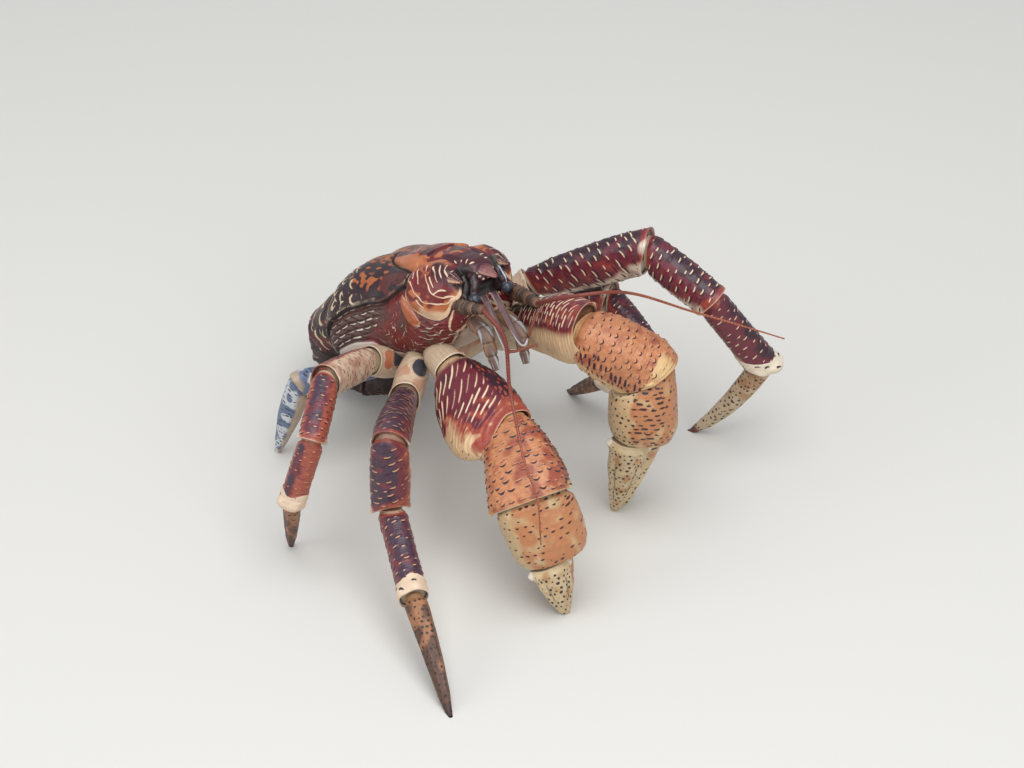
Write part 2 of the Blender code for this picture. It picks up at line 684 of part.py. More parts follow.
# The beak between the eyes and the corners of the eye sockets
BEAK = ((50, 13, 20, 6), (64, 11, 15, 6), (76, 6.5, 9, 4.5), (83, 3.5, 5, 2.5), (87, 1.2, 2.5, 1.0))
rings = []
for at, wide, level, deep in BEAK:
    ring = []
    for i in range(10):
        x, y = oval(2 * math.pi * i / 10, wide, deep, 2)
        ring.append(from_body(at * MM, x * MM, (level + y) * MM))
    rings.append(ring)
head_pieces = [loose("beak", skin(rings))]
for hand in (-1, 1):
    corner = ((52, 22, 15, 6), (66, 23, 10, 5), (75, 23, 6.5, 1.2))
    rings = []
    for at, wide, level, deep in corner:
        ring = []
        for i in range(8):
            x, y = oval(2 * math.pi * i / 8, deep, deep, 2)
            ring.append(from_body(at * MM, (hand * wide + x) * MM, (level + y) * MM))
        rings.append(ring)
    head_pieces.append(loose("socket corner", skin(rings)))
fuse(solids["head_shield"], head_pieces)

# Rows of scales, ridges and spines: kind, rows, from, to, columns, from angle, to angle
RELIEF = {
    "claw_right_merus": [("ridge", 6, 0.16, 0.86, 2, -28, 38), ("spine", 5, 0.25, 0.85, 1, 92, 92)],
    "claw_right_wrist": [("scale", 5, 0.16, 0.88, 5, -60, 70), ("spine", 3, 0.2, 0.8, 1, 100, 100)],
    "claw_right_palm": [("scale", 4, 0.12, 0.85, 5, -60, 80)],
    "claw_left_merus": [("ridge", 5, 0.2, 0.85, 1, 85, 85)],
    "claw_left_wrist": [("scale", 4, 0.18, 0.85, 5, -10, 120)],
    "claw_left_palm": [("scale", 5, 0.15, 0.9, 4, -50, 60)],
    "leg1_right_merus": [("ridge", 6, 0.16, 0.86, 2, 60, 140)],
    "leg1_left_merus": [("ridge", 6, 0.17, 0.84, 2, 24, 112)],
    "leg1_right_carpus": [("scale", 4, 0.2, 0.85, 3, 50, 150)],
    "leg1_left_carpus": [("scale", 4, 0.2, 0.85, 3, 10, 110)],
    "leg1_right_propodus": [("scale", 4, 0.15, 0.85, 2, 60, 130)],
    "leg1_left_propodus": [("scale", 4, 0.15, 0.85, 2, 20, 100)],
    "leg2_right_merus": [("scale", 4, 0.2, 0.85, 1, 70, 70)],
    "leg2_left_merus": [("scale", 4, 0.2, 0.85, 1, 70, 70)],
    "leg2_right_carpus": [("scale", 3, 0.2, 0.8, 1, 70, 70)],
    "leg2_left_carpus": [("scale", 3, 0.2, 0.8, 1, 70, 70)],
}
CARAPACE_RELIEF = {
    "rear_shell": [("ridge", 5, -18, -68, 6, 42, 138)],
    "flank_right": [("scale", 4, -18, -66, 2, 175, 195)],
    "flank_left": [("scale", 4, -18, -66, 2, 5, -15)],
    "head_shield": [("ridge", 4, 8, 50, 2, 150, 172), ("ridge", 4, 8, 50, 2, 30, 8)],
}
reach_of = {kind: (max(size[0], size[1] * 1.6) / 2 + 1.2) * MM for kind, size in RELIEF_SIZES.items()}


def steps(first, last, count):
    return [first + (last - first) * (k / (count - 1) if count > 1 else 0) for k in range(count)]


def others_tree(node):
    """Everything but one node, for keeping its relief clear of the rest."""
    verts, faces = [], []
    for name, obj in solids.items():
        if name == node:
            continue
        start = len(verts)
        verts += [obj.matrix_world @ v.co for v in obj.data.vertices]
        faces += [[start + i for i in p.vertices] for p in obj.data.polygons]
    return BVHTree.FromPolygons(verts, faces)


def relief(node, rows, frame_at):
    """Scales in staggered rows on one node, a little varied in size and turn."""
    tree = others_tree(node)
    pieces = []
    for kind, count, first, last, columns, low, high in rows:
        wide, long, tall = RELIEF_SIZES[kind]
        pitch = (high - low) / max(columns - 1, 1)
        for k, at in enumerate(steps(first, last, count)):
            for angle in steps(low, high, columns):
                turn = angle + (pitch * 0.25 if k % 2 else -pitch * 0.25) * (columns > 1)
                turn += dice.uniform(-2, 2)
                here, out, along = frame_at(at, math.radians(turn))
                size = dice.uniform(0.85, 1.15)
                if tree.find_nearest(here)[3] < reach_of[kind] * size:
                    continue
                pieces.append(scute(here, out, along, wide * size * MM, long * size * MM, tall * size * MM))
    fuse(solids[node], pieces)
    return len(pieces)


made = 0
for node, rows in RELIEF.items():
    made += relief(node, rows, limbs[node].frame)
for node, rows in CARAPACE_RELIEF.items():
    made += relief(node, rows, carapace_frame)
print("relief pieces", made)

# The origin is at the centre of the footprint, on the ground
low = [1e9] * 3
high = [-1e9] * 3
for obj in solids.values():
    for vert in obj.data.vertices:
        here = obj.matrix_world @ vert.co
        for axis in range(3):
            low[axis] = min(low[axis], here[axis])
            high[axis] = max(high[axis], here[axis])
SHIFT = Vector(((low[0] + high[0]) / 2, (low[1] + high[1]) / 2, low[2]))
ROOT.location = -SHIFT
bpy.context.view_layer.update()
print("nodes", len(solids), "triangles", sum(len(o.data.polygons) for o in solids.values()), "shift", SHIFT)
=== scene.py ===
# %% [markdown]
# # A coconut crab, life size
#
# This lesson dresses a plain solid model of a coconut crab for a museum shelf.
# The plain model gives the places and sizes. Here every plate and limb joint gets a fine shell,
# with its low scales, its coloured crescents and its worn gloss.

# %% Open the plain model
import bpy
import bmesh
import math
import numpy as np
from mathutils import Matrix, Vector, noise


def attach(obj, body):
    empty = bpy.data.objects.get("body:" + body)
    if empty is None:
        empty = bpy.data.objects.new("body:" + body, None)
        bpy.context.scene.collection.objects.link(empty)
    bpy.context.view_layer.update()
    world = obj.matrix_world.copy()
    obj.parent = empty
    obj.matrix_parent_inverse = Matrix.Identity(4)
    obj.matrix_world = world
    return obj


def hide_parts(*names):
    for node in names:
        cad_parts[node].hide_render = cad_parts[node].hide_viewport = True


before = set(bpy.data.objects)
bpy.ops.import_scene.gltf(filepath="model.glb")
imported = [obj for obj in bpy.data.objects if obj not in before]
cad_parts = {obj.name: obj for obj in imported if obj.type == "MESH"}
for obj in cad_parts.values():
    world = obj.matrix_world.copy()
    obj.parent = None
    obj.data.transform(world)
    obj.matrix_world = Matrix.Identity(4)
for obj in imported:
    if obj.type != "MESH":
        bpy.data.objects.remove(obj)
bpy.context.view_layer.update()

MM = 0.001
GAP = 0.3 * MM

# %% [markdown]
# ## The camera
#
# The animal was seen from about two and a half metres away with a long lens, from its right front
# and from above. The camera stands at that place and looks a little to the side of the body,
# because the body isn't in the middle of the picture. A long lens keeps parallel edges parallel.

# %% Place the camera
ORIGIN = Vector((68.891, -18.244, 0)) * MM
BODY_HEIGHT = 130 * MM
DISTANCE = 2.6
PIXEL = 0.75 * MM
SENSOR = 36
PICTURE_WIDE, PICTURE_HIGH = 1024, 768
BODY_AT = (432, 290)
turn, tilt = math.radians(48), math.radians(35)
rightward = Vector((math.cos(turn), math.sin(turn), 0))
toward = Vector((math.sin(turn) * math.cos(tilt), -math.cos(turn) * math.cos(tilt), math.sin(tilt)))
upward = toward.cross(rightward)
place = Vector((0, 0, BODY_HEIGHT)) - ORIGIN + toward * DISTANCE
to_right, to_top = PICTURE_WIDE / 2 - BODY_AT[0], PICTURE_HIGH / 2 - BODY_AT[1]
aim = (-toward * DISTANCE + rightward * to_right * PIXEL - upward * to_top * PIXEL).normalized()
camera_data = bpy.data.cameras.new("camera")
camera_data.sensor_width = SENSOR
camera_data.lens = SENSOR * DISTANCE / (PICTURE_WIDE * PIXEL)
camera_data.clip_end = 50
camera = bpy.data.objects.new("camera", camera_data)
bpy.context.scene.collection.objects.link(camera)
back = -aim
across = Vector((0, 0, 1)).cross(back).normalized()
camera.matrix_world = Matrix.Translation(place) @ Matrix((across, back.cross(across),
                                                          back)).transposed().to_4x4()
bpy.context.scene.camera = camera
print("lens", round(camera_data.lens), "mm")

# %% [markdown]
# ## Floor and light
#
# The photograph was taken under an overcast sky, so the light is broad and soft. One large lamp
# above and ahead gives the shell its long pale gloss, and two weaker ones open the shadows.
# The floor is plain and pale, and takes the animal's shadow.

# %% Lay the floor and hang the lamps
floor_mesh = bmesh.new()
bmesh.ops.create_grid(floor_mesh, x_segments=1, y_segments=1, size=6)
floor_data = bpy.data.meshes.new("floor")
floor_mesh.to_mesh(floor_data)
floor_mesh.free()
floor = bpy.data.objects.new("floor", floor_data)
bpy.context.scene.collection.objects.link(floor)
floor_paint = bpy.data.materials.new("floor_paint")
floor_paint.use_nodes = True
floor_shader = floor_paint.node_tree.nodes["Principled BSDF"]
floor_shader.inputs["Base Color"].default_value = (0.62, 0.61, 0.58, 1)
floor_shader.inputs["Roughness"].default_value = 0.9
floor_data.materials.append(floor_paint)

sky = bpy.data.worlds.new("sky")
sky.use_nodes = True
sky.node_tree.nodes["Background"].inputs["Color"].default_value = (0.93, 0.96, 1.0, 1)
sky.node_tree.nodes["Background"].inputs["Strength"].default_value = 0.55
bpy.context.scene.world = sky


def hang_lamp(name, spot, size, power):
    lamp_data = bpy.data.lights.new(name, "AREA")
    lamp_data.size = size
    lamp_data.energy = power
    lamp = bpy.data.objects.new(name, lamp_data)
    bpy.context.scene.collection.objects.link(lamp)
    lamp.location = spot
    lamp.rotation_euler = (Vector((0, 0, 0.1)) - Vector(spot)).to_track_quat("-Z", "Y").to_euler()


hang_lamp("sky_lamp", (0.4, -0.3, 2.0), 1.8, 34)
hang_lamp("front_lamp", (1.9, -0.6, 1.2), 1.2, 12)
hang_lamp("side_lamp", (-0.6, -1.9, 1.0), 1.2, 10)
bpy.context.scene.view_settings.view_transform = "Standard"
print("lamps hung")

# %% [markdown]
# ## How the body sits
#
# The animal holds its head up. Its body is rolled a little to its left and pitched nose up, so
# shapes on the body are written in body axes and turned into the room's axes by one function.

# %% Turn body axes into room axes
PITCH, ROLL = math.radians(33), math.radians(6)


def from_body(x, y, z):
    """Body axes in millimetres to the room's axes in metres. Takes numbers or arrays."""
    side = y * math.cos(ROLL) + z * math.sin(ROLL)
    up = -y * math.sin(ROLL) + z * math.cos(ROLL)
    return np.stack((
        (x * math.cos(PITCH) - up * math.sin(PITCH)) * MM - ORIGIN.x,
        side * MM - ORIGIN.y,
        (x * math.sin(PITCH) + up * math.cos(PITCH)) * MM + BODY_HEIGHT,
    ), axis=-1)


def from_model(points):
    """Millimetres from the middle of the body to the room's axes."""
    return np.asarray(points, float) * MM - np.array(ORIGIN)


def turned_from(angle, middle):
    """How far each direction is turned from a middle one, between minus and plus half a turn."""
    return (angle - middle + math.pi) % (2 * math.pi) - math.pi


def oval(angle, half_side, half_up, power):
    """Points on an oval. A higher power makes it squarer."""
    c, s = np.cos(angle), np.sin(angle)
    return (half_side * np.sign(c) * np.abs(c) ** (2 / power),
            half_up * np.sign(s) * np.abs(s) ** (2 / power))


print("beak tip at", from_body(87.0, 0.0, 2.5).round(3))

# %% [markdown]
# ## A fine tube to shape
#
# Every limb joint, feeler and plate starts as the same thing: a cylinder from Blender's own cone
# operator, cut into many rings by subdivide. Each point then moves to its place, which is known
# from how far along it is and how far round. That keeps clean rows of faces for the low relief.

# %% Make a tube of many rings
def fine_tube(around, along):
    """A closed cylinder. Returns its bmesh, and for each point how far round and along it is."""
    tube = bmesh.new()
    bmesh.ops.create_cone(tube, cap_ends=True, segments=around, radius1=1, radius2=1, depth=1)
    walls = [e for e in tube.edges if abs(e.verts[0].co.z - e.verts[1].co.z) > 0.5]
    bmesh.ops.subdivide_edges(tube, edges=walls, cuts=along - 1, use_grid_fill=True)
    where = np.array([v.co for v in tube.verts])
    return tube, np.arctan2(where[:, 1], where[:, 0]), np.clip(where[:, 2] + 0.5, 0, 1)


# The last tone is painted shade that darkens hollows, grooves, folds and seams
TONES = ("light", "dark", "rim", "warm", "mid", "hollow_shade")


def hand_over(name, shape, tones, paint, nodes):
    """Make a piece of the finished mesh. It stands for the plain solids that nodes lists."""
    data = bpy.data.meshes.new(name)
    shape.to_mesh(data)
    shape.free()
    data.shade_smooth()
    for tone, values in tones.items():
        layer = data.attributes.new(tone, "FLOAT", "POINT")
        layer.data.foreach_set("value", np.clip(values, 0, 1).astype(np.float32))
    data.materials.append(paint)
    piece = bpy.data.objects.new(name, data)
    bpy.context.scene.collection.objects.link(piece)
    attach(piece, "root")
    if nodes:
        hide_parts(*nodes)
    return data


def finish_piece(name, tube, points, tones, paint, nodes):
    """Move the points, and hand the piece over with the six tones that its paint reads."""
    for vert, here in zip(tube.verts, points):
        vert.co = here
    bmesh.ops.recalc_face_normals(tube, faces=tube.faces)
    nothing = np.zeros(len(points))
    hand_over(name, tube, {tone: tones.get(tone, nothing) for tone in TONES}, paint, nodes)


print("a tube of 64 by 80 has", 64 * 79, "faces")

# %% [markdown]
# ## Shell paint
#
# The shell is painted by its own relief. Each piece carries six tones, written on its points:
# light (cream marks), dark (scale fronts), rim (pale joint edges), warm (where maroon turns
# orange), mid (a second ground colour), and a sixth for painted shade, which darkens hollows,
# grooves, folds and seams nearly to black. The paint mixes its colours by them, then breaks them
# up with fine noise, so no patch is one flat colour. Gloss varies a little and the surface has
# tiny pits.

# %% Mix the shell paint
def shell_paint(name, base, warm, light, dark, rim, mid=None, rough=0.34, pits=0.12, mottle=0.35):
    paint = bpy.data.materials.new(name)
    paint.use_nodes = True
    tree = paint.node_tree
    nodes, links = tree.nodes, tree.links
    shader = nodes["Principled BSDF"]
    spot = nodes.new("ShaderNodeTexCoord").outputs["Object"]

    def noise(scale, detail, rough_=0.6):
        node = nodes.new("ShaderNodeTexNoise")
        node.inputs["Scale"].default_value = scale
        node.inputs["Detail"].default_value = detail
        node.inputs["Roughness"].default_value = rough_
        links.new(spot, node.inputs["Vector"])
        return node.outputs["Fac"]

    def tone(tone_name, low=0.0, high=1.0, break_up=None, amount=0.0):
        node = nodes.new("ShaderNodeAttribute")
        node.attribute_name = tone_name
        out = node.outputs["Fac"]
        if break_up is not None:
            shift = nodes.new("ShaderNodeMath")
            shift.operation = "MULTIPLY_ADD"
            links.new(break_up, shift.inputs[0])
            shift.inputs[1].default_value = amount
            shift.inputs[2].default_value = -amount / 2
            add = nodes.new("ShaderNodeMath")
            add.operation = "ADD"
            links.new(out, add.inputs[0])
            links.new(shift.outputs[0], add.inputs[1])
            out = add.outputs[0]
        ramp = nodes.new("ShaderNodeMapRange")
        ramp.inputs["From Min"].default_value = low
        ramp.inputs["From Max"].default_value = high
        ramp.interpolation_type = "SMOOTHSTEP"
        links.new(out, ramp.inputs["Value"])
        return ramp.outputs["Result"]

    def blend(factor, under, over):
        node = nodes.new("ShaderNodeMix")
        node.data_type = "RGBA"
        links.new(factor, node.inputs["Factor"])
        for socket, colour in ((node.inputs["A"], under), (node.inputs["B"], over)):
            if isinstance(colour, tuple):
                socket.default_value = (*colour, 1)
            else:
                links.new(colour, socket)
        return node.outputs["Result"]

    coarse, fine = noise(90, 4), noise(900, 5)
    colour = blend(tone("warm", 0.25, 0.75, coarse, 0.5), base, warm)
    if mid:
        colour = blend(tone("mid", 0.3, 0.7, coarse, 0.4), colour, mid)
    shade = nodes.new("ShaderNodeMapRange")
    shade.inputs["From Min"].default_value = 0.3
    shade.inputs["From Max"].default_value = 0.75
    shade.inputs["To Min"].default_value = 0.0
    shade.inputs["To Max"].default_value = mottle
    links.new(noise(260, 6, 0.7), shade.inputs["Value"])
    deep = tuple(c * 0.35 for c in base)
    colour = blend(shade.outputs["Result"], colour, deep)
    colour = blend(tone("rim", 0.3, 0.8, coarse, 0.4), colour, rim)
    colour = blend(tone("dark", 0.3, 0.7, fine, 0.35), colour, dark)
    colour = blend(tone("light", 0.35, 0.75, fine, 0.35), colour, light)
    # Painted shade: hollows, grooves, folds and seams go nearly black
    hollow_shade = tone("hollow_shade", 0.2, 0.9)
    colour = blend(hollow_shade, colour, (0.012, 0.006, 0.006))
    links.new(colour, shader.inputs["Base Color"])
    gloss = nodes.new("ShaderNodeMapRange")
    gloss.inputs["To Min"].default_value = rough - 0.08
    gloss.inputs["To Max"].default_value = rough + 0.2
    links.new(noise(350, 4), gloss.inputs["Value"])
    links.new(gloss.outputs["Result"], shader.inputs["Roughness"])
    bump = nodes.new("ShaderNodeBump")
    bump.inputs["Strength"].default_value = pits
    bump.inputs["Distance"].default_value = 0.0004
    links.new(noise(1400, 3), bump.inputs["Height"])
    links.new(bump.outputs["Normal"], shader.inputs["Normal"])
    return paint


CREAM, BEIGE, WHITE = (0.72, 0.50, 0.27), (0.56, 0.35, 0.17), (0.68, 0.62, 0.52)
INK = (0.02, 0.008, 0.014)
paints = {
    "merus": shell_paint("merus_paint", (0.15, 0.014, 0.028), (0.40, 0.075, 0.042), (0.66, 0.51, 0.34),
                         INK, (0.68, 0.47, 0.27),
                         mid=(0.030, 0.010, 0.020), rough=0.28, mottle=0.5),
    "wrist": shell_paint("wrist_paint", (0.34, 0.080, 0.042), (0.57, 0.235, 0.105), (0.72, 0.46, 0.24),
                         (0.035, 0.015, 0.025),
                         (0.66, 0.44, 0.21), mid=(0.09, 0.022, 0.03), mottle=0.5),
    "palm": shell_paint("palm_paint", (0.58, 0.40, 0.21), (0.50, 0.19, 0.075), CREAM, (0.035, 0.016, 0.018),
                        (0.70, 0.55, 0.34), mid=(0.12, 0.04, 0.045), mottle=0.45),
    "finger": shell_paint("finger_paint", (0.60, 0.46, 0.27), (0.46, 0.23, 0.09), CREAM,
                          (0.025, 0.014, 0.016), WHITE,
                          mid=(0.10, 0.055, 0.04), mottle=0.4),
    "tooth": shell_paint("tooth_paint", (0.80, 0.76, 0.66), (0.72, 0.64, 0.50), WHITE, INK, WHITE,
                         rough=0.28, mottle=0.1),
    "leg": shell_paint("leg_paint", (0.15, 0.020, 0.034), (0.36, 0.062, 0.040), (0.68, 0.51, 0.34), INK,
                       (0.70, 0.60, 0.47),
                       mid=(0.032, 0.012, 0.024), rough=0.32, mottle=0.5),
    "dusky_leg": shell_paint("dusky_leg_paint", (0.17, 0.030, 0.045), (0.40, 0.095, 0.055),
                             (0.58, 0.30, 0.15), INK,
                             (0.66, 0.50, 0.36), mid=(0.055, 0.030, 0.055), rough=0.32, mottle=0.5),
    "pale_toe": shell_paint("pale_toe_paint", (0.52, 0.40, 0.26), (0.40, 0.22, 0.11), CREAM,
                            (0.03, 0.018, 0.016),
                            (0.66, 0.56, 0.40), mid=(0.12, 0.02, 0.02), rough=0.4, mottle=0.3),
    "toe": shell_paint("toe_paint", (0.10, 0.040, 0.022), (0.36, 0.15, 0.06), BEIGE, (0.02, 0.012, 0.01),
                       (0.60, 0.45, 0.27),
                       mid=(0.045, 0.014, 0.012), rough=0.42, mottle=0.5),
    "small": shell_paint("small_paint", (0.13, 0.17, 0.27), (0.46, 0.35, 0.24), WHITE, (0.02, 0.03, 0.06),
                         (0.52, 0.54, 0.56),
                         rough=0.38),
    "base": shell_paint("base_paint", (0.56, 0.42, 0.29), (0.46, 0.14, 0.07), WHITE, (0.10, 0.035, 0.035),
                        (0.66, 0.55, 0.40),
                        mid=(0.028, 0.036, 0.06), rough=0.34, mottle=0.3),
    "head": shell_paint("head_paint", (0.16, 0.017, 0.018), (0.50, 0.155, 0.055), (0.70, 0.52, 0.36), INK,
                        (0.68, 0.48, 0.31),
                        mid=(0.055, 0.012, 0.02), rough=0.28),
    "rear": shell_paint("rear_paint", (0.035, 0.014, 0.018), (0.42, 0.12, 0.035), (0.52, 0.42, 0.26), INK,
                        (0.42, 0.34, 0.22),
                        mid=(0.11, 0.022, 0.020), rough=0.3, mottle=0.5),
    "flank": shell_paint("flank_paint", (0.085, 0.034, 0.028), (0.165, 0.018, 0.018), (0.52, 0.45, 0.36),
                         INK,
                         (0.46, 0.38, 0.33), mid=(0.42, 0.11, 0.035), rough=0.32),
    "under": shell_paint("under_paint", (0.085, 0.034, 0.028), (0.165, 0.018, 0.018), (0.52, 0.45, 0.36),
                         INK,
                         (0.48, 0.36, 0.27), mid=(0.40, 0.09, 0.03), rough=0.4),
    "tail": shell_paint("tail_paint", (0.03, 0.012, 0.010), (0.14, 0.03, 0.02), BEIGE, INK, BEIGE,
                        rough=0.42),
    "eye": shell_paint("eye_paint", (0.03, 0.035, 0.045), (0.012, 0.012, 0.016), (0.1, 0.12, 0.14), INK,
                       INK, rough=0.12,
                       pits=0.0, mottle=0.1),
    # The stalk's pale blue light colour is used only for a painted highlight along the stalk
    "stalk": shell_paint("stalk_paint", (0.02, 0.010, 0.012), (0.06, 0.015, 0.02), (0.45, 0.50, 0.58), INK,
                         (0.3, 0.3, 0.34),
                         rough=0.28),
    "bristly": shell_paint("bristly_paint", (0.07, 0.037, 0.025), (0.17, 0.085, 0.05), (0.46, 0.37, 0.27),
                           INK, BEIGE, rough=0.5),
    "blade": shell_paint("blade_paint", (0.20, 0.05, 0.03), (0.26, 0.08, 0.04), CREAM, INK,
                         (0.48, 0.45, 0.43),
                         mid=(0.13, 0.085, 0.09), rough=0.26),
    "mouth": shell_paint("mouth_paint", (0.17, 0.105, 0.08), (0.30, 0.16, 0.09), WHITE,
                         (0.05, 0.035, 0.04), (0.40, 0.39, 0.40),
                         rough=0.46),
    "beak": shell_paint("beak_paint", (0.10, 0.025, 0.035), (0.24, 0.085, 0.08), CREAM, INK,
                        (0.42, 0.26, 0.20), rough=0.3),
    "feeler": shell_paint("feeler_paint", (0.20, 0.03, 0.018), (0.38, 0.10, 0.04), CREAM, INK, WHITE,
                          rough=0.4),
}
print(len(paints), "paints")

# %% [markdown]
# ## Low relief
#
# Crescents stand in rows across a joint. Each rises slowly toward the tip of the limb and drops
# steeply at its front, like a roof tile. Scales are shorter and pointed. Both come from one cell
# pattern: the surface is divided into staggered cells, and each cell is nudged by its own
# repeatable random number, so that no two are alike.

# %% Lay crescents and scales
def jitter(row, cell, seed):
    """A number from 0 to 1 that is always the same for the same cell."""
    value = np.sin(row * 127.1 + cell * 311.7 + seed * 74.7) * 43758.5453
    return value - np.floor(value)


def soft(x, low, high):
    """A smooth step from 0 at low to 1 at high."""
    f = np.clip((x - low) / (high - low), 0, 1)
    return f * f * (3 - 2 * f)


def cells(around, along, wide, pitch, seed, bend, stray=0.3):
    """Where each point lies in its staggered cell: across -0.5..0.5, along 0..1, and dice."""
    row_at = along / pitch
    row = np.floor(row_at)
    across = around / wide + (row % 2) * 0.5
    cell = np.floor(across)
    x = across - cell - 0.5
    row_at = row_at + bend * (x * x * 4 - 0.5) * 0.5
    row2 = np.floor(row_at)
    y = row_at - row2
    dice = jitter(row2, cell, seed)
    y = y + (dice - 0.5) * stray
    return x, y, dice, jitter(row2, cell, seed + 5)


def crescents(around, along, wide, pitch, seed, tall, bend, thick=0.09):
    """Height in millimetres, and how light the line along each crest is."""
    x, y, dice, second = cells(around, along, wide, pitch, seed, bend)
    fade = soft(0.5 - np.abs(x), 0.02, 0.2)
    rise = soft(y, 0.1, 0.72) * (1 - soft(y, 0.76, 0.88))
    line = np.exp(-(((y - 0.70) / (thick * (0.6 + 0.5 * fade))) ** 2)) * fade
    return tall * rise * (0.35 + 0.65 * fade) * (0.7 + 0.6 * dice), line * (0.5 + 0.72 * second)


def scales(around, along, wide, pitch, seed, tall):
    """Height, warm tip and dark front of short pointed scales."""
    x, y, dice, second = cells(around, along, wide, pitch, seed, 0.4, 0.5)
    size = 0.6 + 0.6 * dice
    spread = np.hypot(x / (0.34 * size), np.where(y < 0.6, (y - 0.6) / 0.48, (y - 0.6) / 0.14))
    height = tall * size * np.clip(1 - spread, 0, 1) ** 0.9
    front = np.exp(-((x / (0.26 * size)) ** 4 + ((y - 0.72 + 0.6 * x * x) / 0.075) ** 2))
    tip = np.exp(-((x / (0.2 * size)) ** 2 + ((y - 0.53) / 0.10) ** 2))
    return height, tip * (second > 0.2), front * (0.6 + 0.8 * second)


def blotch(points, scale, seed):
    """Smooth noise between 0 and 1 at each point."""
    shift = Vector((seed, seed * 1.7, -seed))
    values = [noise.noise(Vector(p) * scale + shift) for p in points]
    return np.array(values) * 0.75 + 0.5


print("cells ready")

# %% [markdown]
# ## The joints of the limbs
#
# A crab's limb is a row of stiff tubes with a hinge between each pair. The hinges' places are
# listed once, from the body to the tip, and each tube's width and depth are listed at a few
# fractions of its length. A smooth curve through those sizes gives the fine shell its swell.

# %% List the hinges and the sizes
HINGES = {
    "claw_right": ((46, -33, 110), (68, -41.5, 115), (145, -62, 113.5), (192, -84, 87), (210, -79, 43),
                   (226.5, -77, -3)),
    "claw_left": ((50, 25, 105), (70, 29, 120), (143, 18, 153.5), (178.5, 48, 126), (181.5, 42, 75),
                  (165.5, 31.5, -3)),
    "leg1_right": ((23, -34.5, 95), (46, -69, 89), (111, -141, 124), (111, -142, 65), (173, -176.5, 38.5),
                   (252, -214.5, -3)),
    "leg1_left": ((26, 25, 90), (38, 66, 124), (107, 122, 163), (163, 132, 141), (188, 166.5, 78),
                  (137, 142.5, -3)),
    "leg2_right": ((2, -34.5, 81.5), (5, -66.5, 102), (38, -137, 137), (66, -175, 120),
                   (56.5, -188.5, 65.5),
                   (30.5, -170.5, -3)),
    "leg2_left": ((5, 25, 76), (20, 60, 82), (81, 110, 111.5), (126, 102.5, 97), (92, 95.5, 48.5),
                  (35.5, 111.5, -3)),
    "leg3_right": ((-15, -30.5, 70), (-38, -99, 75), (-62.5, -105, -3)),
    "leg3_left": ((-12, 21, 66), (-30, 88, 72), (-58.5, 92, -3)),
}
UP = np.array((0.0, 0.0, 1.0))
CLAW_UP = np.array((0.23, 0.81, 0.53))
RIGHTWARD = np.array((0.67, 0.74, 0.0))


def past_ends(rows, behind=0.22, ahead=0.35, shrink=0.72):
    """Carry a table of sizes on past both hinges, where the tube narrows."""
    first, last = rows[0], rows[-1]
    return [(first[0] - behind, first[1] * shrink, first[2] * shrink, *first[3:]), *rows,
            (last[0] + ahead, last[1] * shrink, last[2] * shrink, *last[3:])]


def smooth_rows(rows, t):
    """Read a table at t, on a smooth curve through its rows. The first column is where each row is."""
    t = np.clip(t, rows[0, 0], rows[-1, 0])
    k = np.clip(np.searchsorted(rows[:, 0], t) - 1, 0, len(rows) - 2)
    span = (rows[k + 1, 0] - rows[k, 0])[..., None]
    f = (t - rows[k, 0])[..., None] / span
    before, after = np.maximum(k - 1, 0), np.minimum(k + 2, len(rows) - 1)
    a, b, c, d = rows[before, 1:], rows[k, 1:], rows[k + 1, 1:], rows[after, 1:]
    slope_b = 0.6 * (c - a) / (rows[k + 1, 0] - rows[before, 0])[..., None] * span
    slope_c = 0.6 * (d - b) / (rows[after, 0] - rows[k, 0])[..., None] * span
    return ((2 * f ** 3 - 3 * f ** 2 + 1) * b + (f ** 3 - 2 * f ** 2 + f) * slope_b
            + (3 * f ** 2 - 2 * f ** 3) * c + (f ** 3 - f ** 2) * slope_c)


